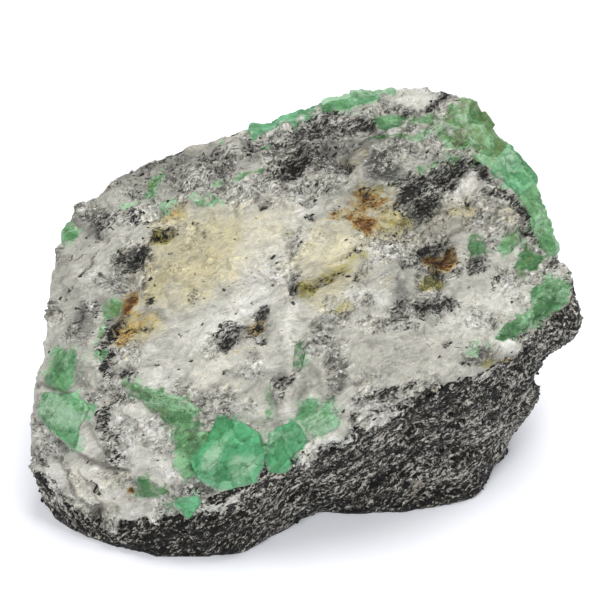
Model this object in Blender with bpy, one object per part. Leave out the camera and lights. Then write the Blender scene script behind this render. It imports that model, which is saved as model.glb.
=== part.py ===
"""Emerald in matrix: hexagonal emerald prisms grown in a pale quartz vein that lies on dark mica schist.

The stone is one broken lump, lying on a flat schist cleavage face at z = 0. Its outer form is lofted
through the stations below. The wavy contact between the two rocks parts that form into the vein and the
schist, and the stone's broken surface cuts each emerald prism off. Lengths are in millimetres until MM
turns them into metres.
"""

import math

import bmesh
import bpy
from mathutils import Matrix, Vector, noise

MM = 0.001
GAP = 0.3  # left between two pieces that touch

# The stone's form, one row for each station round it, anticlockwise seen from above: the brow where the
# top face ends, the bulge below it, the belly, and the edge of the flat sole, whose height is 0.
STATIONS = {
    "front left corner": ((-38, 23, 26), (-42, 16, 17.5), (-42, 10.5, 8), (-39, 8.5)),
    "front left lump": ((-30, 16, 26.2), (-36, 7.5, 15), (-36.5, 6.2, 5), (-33.5, 4.3)),
    "front lump": ((-16, 14, 27.2), (-22, 3, 14), (-23, 0, 5.5), (-22, -1)),
    "front crystal": ((-2, 13, 27.7), (-9, 1, 15), (-9.4, -0.2, 7), (-9.8, 0.4)),
    "front notch": ((6, 10, 26.5), (4, 4, 18.5), (3.6, 6.8, 8.5), (2.8, 10.2)),
    "front right": ((18, 8.7, 27.2), (17, 7.5, 25), (18, 10.3, 12), (18, 9.8)),
    "right front": ((30.5, 15, 27.2), (30.5, 15, 24), (30.5, 16, 12), (28, 13.2)),
    "right tip": ((45, 28, 26.7), (45, 28.5, 22.7), (38.5, 25, 16), (32.5, 21.5)),
    "right": ((41.6, 37, 31), (42, 38, 25), (38, 37, 13), (34, 35)),
    "right back": ((36.8, 49, 39.3), (37.6, 50, 28), (35.5, 49, 14), (31, 46)),
    "right back shoulder": ((32.6, 53, 43.6), (34, 56, 30), (32.5, 54, 14), (28, 51)),
    "back right corner": ((28, 57, 48), (29, 60, 32), (27, 59.5, 15), (22, 54)),
    "back crest right": ((21, 59.5, 50.3), (21, 62.5, 32), (20, 61.5, 15), (15, 56)),
    "back crest": ((12, 59, 49.7), (11, 62.5, 30), (10, 61, 15), (7, 55)),
    "back": ((-1.5, 56, 45.7), (-3, 60.5, 28), (-4, 59, 13), (-4, 53)),
    "back left": ((-17.5, 53, 42.4), (-18, 57.5, 25), (-18, 56, 12), (-16, 49)),
    "left back corner": ((-30, 49.5, 38.7), (-32, 53, 22), (-31, 51, 10), (-26, 43)),
    "left back shoulder": ((-37, 45, 34.7), (-37.5, 48, 22), (-36, 46, 10), (-30, 40)),
    "left back": ((-39.6, 39, 31.6), (-39, 41, 20), (-38, 40, 9), (-33, 34)),
    "left": ((-39.8, 30, 27.6), (-39.2, 31, 20), (-39, 30, 9), (-35, 28)),
    "left front": ((-39.4, 25.5, 25.2), (-41, 22, 19), (-41, 20, 9), (-37, 18)),
}
TOP_MIDDLE = (2, 37, 40)
SOLE_MIDDLE = (-1, 30, 0)
INNER_RING = 0.55  # how far out from the middle of the top face its inner ring of points lies
INNER_RISE = 0.6  # how far that ring stands above a straight line to the brow
VOXEL = 1.1  # size of the mesh that the roughness is worked on
FACETS = 0.11  # share of that mesh that is kept
HUMPS = ((15, 0.7, 3), (6, 0.45, 11), (2.8, 0.2, 23))  # spacing, height and seed of each roughness
SWELL = 0.5  # how far the broken surface stands out from the loft on the whole
SOLE_WEAR = 0.5  # how much is worn off the bottom to make the flat sole

# The contact between vein and schist, as it runs along the front of the stone from left to right. Behind
# that line it climbs towards the back.
CONTACT = (
    (-60, 9, 13), (-41, 9, 7.2), (-38.5, 6, 6.4), (-35, 5, 3.8), (-29, 3, 3.5), (-22.5, 1, 7), (-15.5, 0, 9.7),
    (-12, 0.5, 13), (-5, 1.5, 15.5), (3, 4, 17.9), (7.5, 5.5, 20.5), (11.5, 6.5, 23.3), (18, 8, 25.8),
    (24.5, 11, 26), (30.5, 15, 25.3), (37.5, 21, 25.5), (43.5, 27, 26.8), (60, 27, 26.8),
)
# How far it rises for each millimetre back, by distance across.
CONTACT_CLIMB = ((-60, 0.25), (-20, 0.28), (5, 0.3), (20, 0.24), (35, 0.16), (60, 0.12))
CONTACT_CELL = 5  # spacing of the contact's points
CONTACT_ACROSS = (-55, 55)  # how far the contact runs past the stone on each side
CONTACT_BACK = (-15, 75)
CONTACT_WAVES = (9, 0.8, 41)  # spacing, height and seed

# Emeralds are drawn square-on from the eye, in millimetres across and up from the point it looks at.
EYE_TILT = 38  # degrees above level
EYE_DISTANCE = 360
EYE_AIM = (0, 29, 28.3)
EYE_SIDE = 6  # how far in front of the stone's surface a cutter starts
ROOT_SHARE = 0.9  # how wide the buried root of a crystal is, as a share of its outline

# One row for each emerald: its outline, how deep it is rooted, and how far it stands proud of the stone.
EMERALDS = {
    "emerald_front": (
        ((-12.8, -18.4), (-10.9, -19), (-7, -21.3), (-5.6, -25), (-5.6, -26.9), (-6.9, -29), (-12.5, -30.7),
         (-16.2, -28.3), (-17.4, -25.6), (-14.9, -22.7)), 9, 1.8),
    "emerald_front_right": (
        ((-5.1, -21.9), (-3.5, -20.5), (-1.4, -19.2), (0.3, -20), (1.3, -22.2), (-0.2, -24), (-1.9, -25.6),
         (-2.1, -27.4), (-4.8, -27.5), (-5.4, -25.9)), 5, 0.6),
    "emerald_front_flank": (
        ((-20.3, -19.6), (-15.6, -19.4), (-13.8, -22.5), (-15.5, -25.6), (-15.2, -28), (-18.4, -28.1),
         (-20, -26.6)), 5, 0.5),
    "emerald_front_band": (
        ((-28.8, -13.4), (-26.1, -13.4), (-23.8, -14.6), (-18.2, -16), (-15.5, -17.5), (-15.5, -20.6),
         (-20.3, -20.6), (-23.8, -18.1), (-25.3, -16.2), (-27.4, -15.2)), 4, 0.4),
    "emerald_front_wedge": (
        ((-20.8, -32.5), (-19.8, -31.5), (-16.3, -31), (-15.8, -32.2), (-18.2, -35.2)), 4, 0.5),
    "emerald_front_sprig": (
        ((-26.2, -29.3), (-24, -29.1), (-21.1, -30.4), (-21, -31.4), (-24, -31.7), (-25.6, -30.7)), 3, 0.4),
    "emerald_mottled": (
        ((-1.1, -19.2), (-0.3, -16.8), (1.6, -15.8), (5.3, -16.6), (6.6, -19.2), (5.9, -20.6), (1, -22.8),
         (-0.8, -20.8)), 5, 0.4),
    "emerald_sliver": (((-0.8, -7.2), (0.3, -8.3), (0, -11.4), (-1, -10.6)), 3, 0.4),
    "emerald_left_upper": (
        ((-38.2, -8.2), (-36, -8.3), (-34.7, -9.3), (-36.2, -11.8), (-36, -14.1), (-37.4, -14.6), (-40.5, -13),
         (-39.5, -10.6)), 7, 0.5),
    "emerald_left_lower": (
        ((-41.4, -14.9), (-38.4, -15.5), (-35.7, -14.9), (-33.8, -17.4), (-35.5, -20), (-36.2, -23.5),
         (-40, -21.1), (-41.8, -17.9)), 7, 0.8),
    "emerald_left_notch": (
        ((-38.7, 11.8), (-37.4, 13.1), (-35.7, 11.8), (-35.8, 10.2), (-37.4, 9.4), (-39, 9.6)), 4, 0.4),
    "emerald_bar": (
        ((31.2, -6.2), (32.6, -4.5), (37.6, -1.4), (37.6, 1.6), (40, 3.5), (41.9, 3), (43.2, 0.8), (43, -0.6),
         (39.5, -3), (36.2, -5), (32.2, -6.6)), 5, 0.8),
    "emerald_dot_left": (
        ((27, 8.5), (27.8, 9.8), (29.4, 9.9), (30.1, 8.8), (29.1, 7.4), (27.5, 7.5)), 3, 0.4),
    "emerald_dot_middle": (
        ((31.8, 9.4), (33, 10.2), (34.7, 10.4), (35, 9.1), (33.8, 7.7), (32.5, 7.4)), 3, 0.4),
    "emerald_dot_right": (
        ((34.4, 5.1), (34.9, 7), (35.8, 8), (38.6, 7.2), (38.9, 6.1), (36.8, 4.5), (35, 3.7)), 3.5, 0.4),
    "emerald_edge_upper": (
        ((25.3, 32.8), (27.8, 33), (30.6, 30.8), (33.8, 25.4), (30.6, 20.6), (28.3, 22.6), (27, 24.5),
         (26.4, 27.4)), 5, 0.4),
    "emerald_edge_middle": (
        ((32, 27.5), (35.9, 25.6), (37.7, 23.2), (39.2, 19.2), (34.7, 16.8), (32.8, 18.9),
         (29.8, 21.4)), 5, 0.6),
    "emerald_edge_lower": (
        ((33.8, 18.2), (38.6, 22), (40.8, 15), (42.6, 10.8), (42, 8), (39.8, 6.9), (38.1, 8.6),
         (36.5, 13.4)), 5, 0.5),
    "emerald_crest_left": (
        ((-8.6, 27.8), (-4.8, 29.4), (-0.6, 30.8), (4, 32.8), (4, 30.2), (-0.5, 28.5), (-4.6, 27.4),
         (-8, 26.6)), 4, 0.5),
    "emerald_crest_right": (
        ((3, 33), (6.7, 34.2), (11.2, 35.3), (15.4, 35.4), (15.4, 33.3), (11.7, 31.8), (7.5, 30.6),
         (3, 29.8)), 4, 0.5),
    "emerald_crest_dot": (
        ((12, 29.1), (13.6, 29.8), (16.2, 29.4), (15.8, 27.7), (13.6, 26.9), (12.2, 27.5)), 3, 0.4),
}
# Planes that cut a crystal's outer end into natural faces, each through three points: across, up, and how
# far the point stands out from the stone's surface towards the eye.
END_FACES = {
    "emerald_front": (
        ((-16.4, -25.6, 1.6), (-9.8, -23.4, 2), (-10.6, -18.6, 0.2)),
        ((-16.4, -25.6, 1.6), (-9.8, -23.4, 2), (-9.4, -30.2, 0.4)),
        ((-9.8, -23.4, 2), (-5.2, -23.6, 0.3), (-6, -29, 0.3)),
    ),
    "emerald_bar": (
        ((31.8, -5.8, 0.6), (38, -1.4, 0.9), (36, -4.8, 0)),
    ),
}

SCHIST_LOOK = ("schist", (0.1, 0.095, 0.09, 1), 0.62)
VEIN_LOOK = ("vein_quartz", (0.66, 0.65, 0.62, 1), 0.5)
EMERALD_LOOK = ("emerald", (0.1, 0.42, 0.2, 1), 0.3)


def add_object(name, form):
    """A new object from a bmesh, which is freed."""
    mesh = bpy.data.meshes.new(name)
    form.to_mesh(mesh)
    form.free()
    shape = bpy.data.objects.new(name, mesh)
    bpy.context.collection.objects.link(shape)
    return shape


def apply_modifiers(shape):
    """Turn an object's modifiers into its mesh."""
    graph = bpy.context.evaluated_depsgraph_get()
    mesh = bpy.data.meshes.new_from_object(shape.evaluated_get(graph))
    shape.modifiers.clear()
    shape.data = mesh
    shape.data.name = shape.name


def lofted_stone():
    """The closed outer form of the whole stone, through every station."""
    middle = Vector(TOP_MIDDLE)
    rise = Vector((0, 0, INNER_RISE))
    rings = [[middle.lerp(Vector(row[0]), INNER_RING) + rise for row in STATIONS.values()]]
    rings += [[Vector(row[level]) for row in STATIONS.values()] for level in range(3)]
    rings.append([Vector((*row[3], 0)) for row in STATIONS.values()])
    form = bmesh.new()
    loops = [[form.verts.new(point * MM) for point in ring] for ring in rings]
    count = len(STATIONS)
    for upper, lower in zip(loops, loops[1:]):
        for i in range(count):
            j = (i + 1) % count
            form.faces.new((upper[i], lower[i], lower[j], upper[j]))
    for loop, centre, facing_up in ((loops[0], TOP_MIDDLE, True), (loops[-1], SOLE_MIDDLE, False)):
        hub = form.verts.new(Vector(centre) * MM)
        for i in range(count):
            j = (i + 1) % count
            form.faces.new((hub, loop[i], loop[j]) if facing_up else (hub, loop[j], loop[i]))
    return form


def roughen(shape):
    """Break up a smooth form's surface with rises and hollows of several sizes."""
    form = bmesh.new()
    form.from_mesh(shape.data)
    form.normal_update()
    for vertex in form.verts:
        lift = SWELL
        for spacing, height, seed in HUMPS:
            lift += height * noise.noise(vertex.co / (spacing * MM) + Vector((seed, 0, 0)))
        vertex.co += vertex.normal * lift * MM
    form.to_mesh(shape.data)
    form.free()


def flatten_sole(shape):
    """Cut the bottom off flat, and drop the stone so that the cut lies at z = 0."""
    form = bmesh.new()
    form.from_mesh(shape.data)
    around = form.verts[:] + form.edges[:] + form.faces[:]
    cut = bmesh.ops.bisect_plane(form, geom=around, plane_co=(0, 0, SOLE_WEAR * MM), plane_no=(0, 0, -1),
                                 clear_outer=True)
    rim = [item for item in cut["geom_cut"] if isinstance(item, bmesh.types.BMEdge)]
    bmesh.ops.holes_fill(form, edges=rim)
    bmesh.ops.translate(form, verts=form.verts[:], vec=(0, 0, -SOLE_WEAR * MM))
    bmesh.ops.triangulate(form, faces=form.faces[:])
    form.to_mesh(shape.data)
    form.free()


def make_stone():
    """The whole stone in one solid, before its pieces are parted."""
    stone = add_object("stone_guide", lofted_stone())
    remesh = stone.modifiers.new("Remesh", "REMESH")
    remesh.mode = "VOXEL"
    remesh.voxel_size = VOXEL * MM
    apply_modifiers(stone)
    roughen(stone)
    thin = stone.modifiers.new("Decimate", "DECIMATE")
    thin.ratio = FACETS
    apply_modifiers(stone)
    flatten_sole(stone)
    return stone


def contact_height(x, y):
    """Height of the contact, in millimetres, at a place seen from above."""
    line = CONTACT[0]
    for left, right in zip(CONTACT, CONTACT[1:]):
        if left[0] <= x <= right[0]:
            line = Vector(left).lerp(Vector(right), (x - left[0]) / (right[0] - left[0]))
    for left, right in zip(CONTACT_CLIMB, CONTACT_CLIMB[1:]):
        if left[0] <= x <= right[0]:
            climb = left[1] + (right[1] - left[1]) * (x - left[0]) / (right[0] - left[0])
    spacing, height, seed = CONTACT_WAVES
    wave = height * noise.noise(Vector((x / spacing, y / spacing, seed)))
    return line[2] + climb * (y - line[1]) + wave


def contact_sheet():
    """A thin wavy sheet along the contact. What it cuts away is the gap between vein and schist."""
    across, back = (range(first, last + 1, CONTACT_CELL) for first, last in (CONTACT_ACROSS, CONTACT_BACK))
    form = bmesh.new()
    rows = [[Vector((x, y, contact_height(x, y) - GAP / 2)) * MM for x in across] for y in back]
    grid = [[form.verts.new(point) for point in row] for row in rows]
    for near, far in zip(grid, grid[1:]):
        for i in range(len(across) - 1):
            form.faces.new((near[i], near[i + 1], far[i + 1]))
            form.faces.new((near[i], far[i + 1], far[i]))
    lifted = bmesh.ops.extrude_face_region(form, geom=form.faces[:])
    corners = [item for item in lifted["geom"] if isinstance(item, bmesh.types.BMVert)]
    bmesh.ops.translate(form, verts=corners, vec=(0, 0, GAP * MM))
    bmesh.ops.recalc_face_normals(form, faces=form.faces[:])
    return guide(add_object("contact_guide", form))


def guide(shape):
    """Mark an object as a cutter, which is not part of the stone."""
    shape.hide_render = True
    shape.display_type = "WIRE"
    return shape


def eye_axes():
    """The eye's place, and its right, up and forward directions."""
    tilt = math.radians(EYE_TILT)
    forward = Vector((0, math.cos(tilt), -math.sin(tilt)))
    place = Vector(EYE_AIM) - forward * EYE_DISTANCE
    right = Vector((1, 0, 0))
    return place, right, right.cross(forward), forward


def sight_point(across, up, depth):
    """The point that is drawn at (across, up) and lies at a depth from the eye, in millimetres."""
    place, right, above, forward = eye_axes()
    share = depth / EYE_DISTANCE
    return place + forward * depth + right * across * share + above * up * share


def surface_depth(stone, across, up):
    """How deep the stone's surface lies behind a point of the drawing, or None off the stone."""
    place, _, _, forward = eye_axes()
    start = sight_point(across, up, EYE_DISTANCE / 2) * MM
    hit, point, _, _ = stone.ray_cast(start, (start - place * MM).normalized())
    return (point / MM - place).dot(forward) if hit else None


def widened(outline, margin):
    """An outline moved outwards by a margin, its corners mitred."""
    corners = [Vector(point) for point in outline]
    moved = []
    area = sum(a.cross(b) for a, b in zip(corners, corners[1:] + corners[:1]))
    turn = 1 if area > 0 else -1
    for before, here, after in zip(corners[-1:] + corners[:-1], corners, corners[1:] + corners[:1]):
        first = (here - before).normalized().orthogonal() * -turn
        second = (after - here).normalized().orthogonal() * -turn
        miter = (first + second).normalized()
        moved.append(here + miter * margin / max(miter.dot(first), 0.5))
    return moved


def crystal_column(name, stone, margin=0):
    """A tapering column through the stone's surface, in the shape of a crystal's outline."""
    outline, depth, _ = EMERALDS[name]
    middle = sum((Vector(point) for point in outline), Vector((0, 0))) / len(outline)
    depths = [surface_depth(stone, *point) for point in (middle, *outline)]
    depths = [found for found in depths if found]  # at the stone's edge, corners lie off it
    surface = sum(depths) / len(depths)
    corners = widened(outline, margin)
    root = [middle + (point - middle) * ROOT_SHARE for point in corners]
    form = bmesh.new()
    near = [form.verts.new(sight_point(*point, surface - EYE_SIDE) * MM) for point in corners]
    far = [form.verts.new(sight_point(*point, surface + depth + margin) * MM) for point in root]
    form.faces.new(near)
    form.faces.new(far[::-1])
    for i in range(len(corners)):
        j = (i + 1) % len(corners)
        form.faces.new((near[i], far[i], far[j], near[j]))
    bmesh.ops.triangulate(form, faces=form.faces[:])
    bmesh.ops.recalc_face_normals(form, faces=form.faces[:])
    return form


def cut_end_faces(form, name, stone):
    """Cut a crystal's outer end along its natural faces."""
    for corners in END_FACES.get(name, ()):
        points = [sight_point(x, y, surface_depth(stone, x, y) - out) for x, y, out in corners]
        normal = (points[1] - points[0]).cross(points[2] - points[0])
        towards_eye = eye_axes()[0] - points[0]
        if normal.dot(towards_eye) < 0:
            normal = -normal
        around = form.verts[:] + form.edges[:] + form.faces[:]
        cut = bmesh.ops.bisect_plane(form, geom=around, plane_co=points[0] * MM, plane_no=normal,
                                     clear_outer=True)
        rim = [item for item in cut["geom_cut"] if isinstance(item, bmesh.types.BMEdge)]
        bmesh.ops.holes_fill(form, edges=rim)
        bmesh.ops.triangulate(form, faces=form.faces[:])


def stone_skin(stone, proud):
    """The stone's form, swollen by the height that a crystal stands proud."""
    form = bmesh.new()
    form.from_mesh(stone.data)
    form.normal_update()
    for vertex in form.verts:
        vertex.co += vertex.normal * proud * MM
    return guide(add_object(f"skin_{proud}_guide", form))


def is_closed(mesh):
    """Whether a mesh has faces, and every edge of it joins two of them."""
    form = bmesh.new()
    form.from_mesh(mesh)
    closed = bool(form.faces) and all(len(edge.link_faces) == 2 for edge in form.edges)
    form.free()
    return closed


def combine(shape, cutter, operation):
    """Apply one Boolean to an object, and cut its new faces into triangles."""
    before = shape.data
    for solver in ("EXACT", "MANIFOLD"):  # the second is for slivers that defeat the first
        shape.data = before
        boolean = shape.modifiers.new(cutter.name, "BOOLEAN")
        boolean.operation = operation
        boolean.solver = solver
        boolean.object = cutter
        shape.modifiers.new("Triangulate", "TRIANGULATE")
        apply_modifiers(shape)
        if is_closed(shape.data):
            return
    raise ValueError(f"{operation} with {cutter.name} spoils {shape.name}")


def loose_parts(form):
    """The separate closed parts of a bmesh, as lists of faces."""
    left = set(form.faces)
    parts = []
    while left:
        queue = [left.pop()]
        part = []
        while queue:
            face = queue.pop()
            part.append(face)
            for edge in face.edges:
                for other in edge.link_faces:
                    if other in left:
                        left.remove(other)
                        queue.append(other)
        parts.append(part)
    return parts


def keep_part(shape, choose):
    """Keep the one closed part of an object that scores highest."""
    form = bmesh.new()
    form.from_mesh(shape.data)
    parts = sorted(loose_parts(form), key=choose, reverse=True)
    spare = [face for part in parts[1:] for face in part]
    bmesh.ops.delete(form, geom=spare, context="FACES")
    bmesh.ops.triangulate(form, faces=form.faces[:])
    form.to_mesh(shape.data)
    form.free()


def part_size(part):
    """How large a part is, by its surface."""
    return sum(face.calc_area() for face in part)


def dress(shape, look):
    """Give a piece its own material."""
    name, colour, roughness = look
    material = bpy.data.materials.new(f"{name}_{shape.name}")
    material.use_nodes = True
    shader = material.node_tree.nodes["Principled BSDF"]
    shader.inputs["Base Color"].default_value = colour
    shader.inputs["Roughness"].default_value = roughness
    shader.inputs["Metallic"].default_value = 0
    shape.data.materials.clear()
    shape.data.materials.append(material)


def copy_of(shape, name):
    """A second object of the same shape."""
    twin = bpy.data.objects.new(name, shape.data.copy())
    bpy.context.collection.objects.link(twin)
    return twin


def part_rocks(stone):
    """Part the stone along the contact into the vein above it and the schist below."""
    sheet = contact_sheet()
    parted = copy_of(stone, "parted_guide")
    combine(parted, sheet, "DIFFERENCE")
    vein = copy_of(parted, "quartz_vein")
    schist = copy_of(parted, "schist_base")
    keep_part(schist, lambda part: -min(face.calc_center_median().z for face in part))
    keep_part(vein, lambda part: part_size(part) * min(face.calc_center_median().z for face in part))
    bpy.data.objects.remove(parted)
    return vein, schist


def grow_emeralds(stone, rocks):
    """Every emerald, with its socket cut in the rocks and in the emeralds that come after it."""
    skins = {proud: stone_skin(stone, proud) for _, _, proud in EMERALDS.values()}
    sockets = []
    crystals = []
    for name, (_, _, proud) in EMERALDS.items():
        form = crystal_column(name, stone)
        cut_end_faces(form, name, stone)
        crystal = add_object(name, form)
        combine(crystal, skins[proud], "INTERSECT")
        for socket in sockets:
            combine(crystal, socket, "DIFFERENCE")
        keep_part(crystal, part_size)
        socket = guide(add_object(f"{name}_socket_guide", crystal_column(name, stone, GAP)))
        for rock in rocks:
            combine(rock, socket, "DIFFERENCE")
        sockets.append(socket)
        crystals.append(crystal)
    return crystals


def centre(pieces):
    """Move every piece so that the middle of the bottom of the whole box is the origin."""
    corners = [vertex.co for piece in pieces for vertex in piece.data.vertices]
    lows, highs = ([pick(corner[axis] for corner in corners) for axis in range(3)] for pick in (min, max))
    middle = Vector(((lows[0] + highs[0]) / 2, (lows[1] + highs[1]) / 2, lows[2]))
    for piece in pieces:
        piece.data.transform(Matrix.Translation(-middle))


def build():
    """Model the stone and its emeralds."""
    for old in list(bpy.data.objects):
        bpy.data.objects.remove(old)
    stone = guide(make_stone())
    vein, schist = part_rocks(stone)
    crystals = grow_emeralds(stone, (vein, schist))
    for rock in (vein, schist):
        keep_part(rock, part_size)
    dress(vein, VEIN_LOOK)
    dress(schist, SCHIST_LOOK)
    for crystal in crystals:
        dress(crystal, EMERALD_LOOK)
    centre([vein, schist, *crystals])


build()
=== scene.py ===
# Emerald in matrix: the finish of every surface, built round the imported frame.
# Fine meshes for the broken rock and the crystals, their materials, the loose grains, and the studio.
# Lengths are in millimetres until mm turns them into metres.

import itertools
import math

import bpy
import numpy as np
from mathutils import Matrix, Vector
from mathutils.bvhtree import BVHTree


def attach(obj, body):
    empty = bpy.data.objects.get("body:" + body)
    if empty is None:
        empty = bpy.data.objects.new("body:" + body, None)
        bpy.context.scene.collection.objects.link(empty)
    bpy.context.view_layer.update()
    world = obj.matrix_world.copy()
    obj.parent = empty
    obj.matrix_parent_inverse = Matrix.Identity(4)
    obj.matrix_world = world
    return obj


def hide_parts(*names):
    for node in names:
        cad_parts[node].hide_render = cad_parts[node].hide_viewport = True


mm = 0.001
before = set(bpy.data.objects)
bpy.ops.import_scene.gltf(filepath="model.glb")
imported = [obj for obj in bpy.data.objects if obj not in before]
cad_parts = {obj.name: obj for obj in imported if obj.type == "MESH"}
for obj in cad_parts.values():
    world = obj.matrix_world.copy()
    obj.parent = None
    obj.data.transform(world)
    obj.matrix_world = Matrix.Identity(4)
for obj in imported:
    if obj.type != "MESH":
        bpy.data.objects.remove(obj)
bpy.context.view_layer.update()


eye = {
    "tilt": 38,  # degrees above level
    "distance": 360,
    "aim": (-1.116, -2.165, 28.3),
    "lens": 135,
    "sensor": 36,
}


def addObject(name, data):
    made = bpy.data.objects.new(name, data)
    bpy.context.collection.objects.link(made)
    return made


def aimAlong(shape, direction):
    shape.rotation_euler = Vector(direction).to_track_quat("-Z", "Y").to_euler()


def eyeAxes():
    tilt = math.radians(eye["tilt"])
    forward = np.array((0, math.cos(tilt), -math.sin(tilt)))
    right = np.array((1.0, 0, 0))
    return right, np.cross(right, forward), forward


def eyePlace():
    return np.array(eye["aim"]) - eyeAxes()[2] * eye["distance"]


def drawn(points):
    # where points lie in the drawing that the marks below are placed in, across and up from the aim
    right, above, forward = eyeAxes()
    away = points - eyePlace()
    share = eye["distance"] / (away @ forward)
    return np.stack(((away @ right) * share, (away @ above) * share), axis=1)


def placeCamera():
    lensData = bpy.data.cameras.new("eye")
    lensData.lens = eye["lens"]
    lensData.sensor_width = eye["sensor"]
    lensData.clip_start = 0.01
    lensData.clip_end = 20
    camera = addObject("eye", lensData)
    camera.location = Vector(eyePlace()) * mm
    aimAlong(camera, eyeAxes()[2])
    bpy.context.scene.camera = camera


def scattered(cells, seed):
    # a steady random value from 0 to 1 for each cell
    key = cells.astype(np.int64).astype(np.uint32)
    mixed = np.full(len(key), seed * 7919 + 17, np.uint32)
    for axis, factor in enumerate((73856093, 19349663, 83492791)):
        mixed ^= key[:, axis] * np.uint32(factor)
    for factor in (2246822519, 3266489917):
        mixed ^= mixed >> np.uint32(15)
        mixed = mixed * np.uint32(factor)
    mixed ^= mixed >> np.uint32(16)
    return mixed.astype(np.float64) / 4294967295


def threeScattered(cells, seed):
    return np.stack([scattered(cells, seed + i) for i in range(3)], axis=1)


def smooth(low, high, values):
    part = np.clip((values - low) / (high - low), 0, 1)
    return part * part * (3 - 2 * part)


def waves(points, spacing, seed, octaves=1):
    # smooth noise from -1 to 1, with finer and weaker layers on top
    total = np.zeros(len(points))
    for layer in range(octaves):
        scaled = points / (spacing / 2**layer) + 31.7 * layer
        base = np.floor(scaled)
        part = smooth(0, 1, scaled - base)
        value = np.zeros(len(points))
        for corner in itertools.product((0, 1), repeat=3):
            share = np.prod(np.where(corner, part, 1 - part), axis=1)
            value += share * scattered(base + corner, seed + layer)
        total += (value * 2 - 1) / 2**layer
    return total


def summedWaves(points, layers, shift=0):
    # several noises laid over each other, each with its own spacing, reach and seed
    return sum(reach * waves(points, spacing, seed + shift) for spacing, reach, seed in layers)


def facetLift(points, facets):
    # a random slope on each crumb of the surface, for each size, tilt and seed of the crumbs
    lift = np.zeros(len(points))
    for size, tilt, seed in facets:
        scaled = points / size
        base = np.floor(scaled)
        nearest = np.full(len(points), 9.0)
        offset = np.zeros_like(points)
        owner = np.zeros_like(points)
        for step in itertools.product((-1, 0, 1), repeat=3):
            cell = base + step
            away = scaled - (cell + threeScattered(cell, seed))
            gap = np.einsum("ij,ij->i", away, away)
            closer = gap < nearest
            nearest[closer] = gap[closer]
            offset[closer] = away[closer]
            owner[closer] = cell[closer]
        slope = threeScattered(owner, seed + 5) * 2 - 1
        lift += tilt * np.einsum("ij,ij->i", offset * size, slope)
    return lift


def readValues(items, field, width):
    flat = np.empty(len(items) * width, np.float32)
    items.foreach_get(field, flat)
    return flat.reshape(-1, width).astype(np.float64)


def pointsOf(mesh):
    return readValues(mesh.vertices, "co", 3) / mm


def normalsOf(mesh):
    return readValues(mesh.vertex_normals, "vector", 3)


def attributeOf(mesh, name):
    return readValues(mesh.attributes[name].data, "value", 1)[:, 0]


def setPoints(mesh, points):
    mesh.vertices.foreach_set("co", (points * mm).astype(np.float32).ravel())
    mesh.update()


def storeValues(mesh, name, values):
    # keeps a number or a vector for each point, which the material reads
    kind, field = ("FLOAT", "value") if values.ndim == 1 else ("FLOAT_VECTOR", "vector")
    layer = mesh.attributes.new(name, kind, "POINT")
    layer.data.foreach_set(field, values.astype(np.float32).ravel())


def surfaceTree(meshes):
    # one search tree for the surfaces of several meshes, and the mesh that each face comes from
    corners = []
    faces = []
    owners = []
    for number, mesh in enumerate(meshes):
        start = len(corners)
        corners += [tuple(point) for point in pointsOf(mesh)]
        for face in mesh.polygons:
            faces.append([start + corner for corner in face.vertices])
            owners.append(number)
    return BVHTree.FromPolygons(corners, faces), owners


def findNearest(tree, points, reach):
    # for each point, up to a reach: how far it is from the tree's surface and how far outside it,
    # then the slope and the face there, and the way there
    found = {
        "gap": np.full(len(points), float(reach)),
        "outside": np.full(len(points), float(reach)),
        "slope": np.zeros_like(points),
        "face": np.full(len(points), -1),
        "way": np.zeros_like(points),
    }
    for number, point in enumerate(points):
        place, normal, index, distance = tree.find_nearest(Vector(point), reach)
        if index is None:
            continue
        way = place - Vector(point)
        found["gap"][number] = distance
        found["outside"][number] = -way.dot(normal)
        found["slope"][number] = normal
        found["face"][number] = index
        found["way"][number] = way
    return found


closing = (0.3, 0.75, 0.56)  # gap up to which surfaces close, gap from which they don't, share of the way


def closed(near):
    # how far each point moves over to the neighbour that it nearly touches
    full, none, share = closing
    return near["way"] * (share * (1 - smooth(full, none, near["gap"])))[:, None]


def plainCopy(node, name):
    # a node's shape again as a new object
    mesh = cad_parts[node].data
    copied = bpy.data.meshes.new(name)
    copied.from_pydata([tuple(point.co) for point in mesh.vertices], [],
                       [list(face.vertices) for face in mesh.polygons])
    return addObject(name, copied)


def settle(shape):
    # replaces an object's mesh with what its modifiers make of it
    graph = bpy.context.evaluated_depsgraph_get()
    mesh = bpy.data.meshes.new_from_object(shape.evaluated_get(graph))
    shape.modifiers.clear()
    shape.vertex_groups.clear()
    shape.data = mesh
    mesh.name = shape.name
    mesh.materials.clear()
    return mesh


def remeshed(shape, voxel, rounds):
    # an even fine mesh of the same shape, its facets' edges eased
    remesh = shape.modifiers.new("Remesh", "REMESH")
    remesh.mode = "VOXEL"
    remesh.voxel_size = voxel * mm
    ease = shape.modifiers.new("Smooth", "SMOOTH")
    ease.factor = 0.5
    ease.iterations = rounds
    return settle(shape)


skin = {
    "nodeVoxel": 0.4,
    "grow": 0.32,  # how far each node grows so that it joins its neighbours
    "voxel": 0.5,
    "rounds": 5,
    "fill": 0.5,  # depth of groove between neighbours that is filled up to the skin
    "fillEnd": 1.3,
    "open": 0.8,  # depth under the skin down to which a surface can be seen
    "buried": 1.1,  # depth from where it is never seen
    "buriedShare": 0.06,  # share of its faces that a buried surface keeps
    "thinFrom": (0.15, 20000),  # share of buried points, and number of points, from which a mesh is thinned
    "reach": 60,
}


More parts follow.
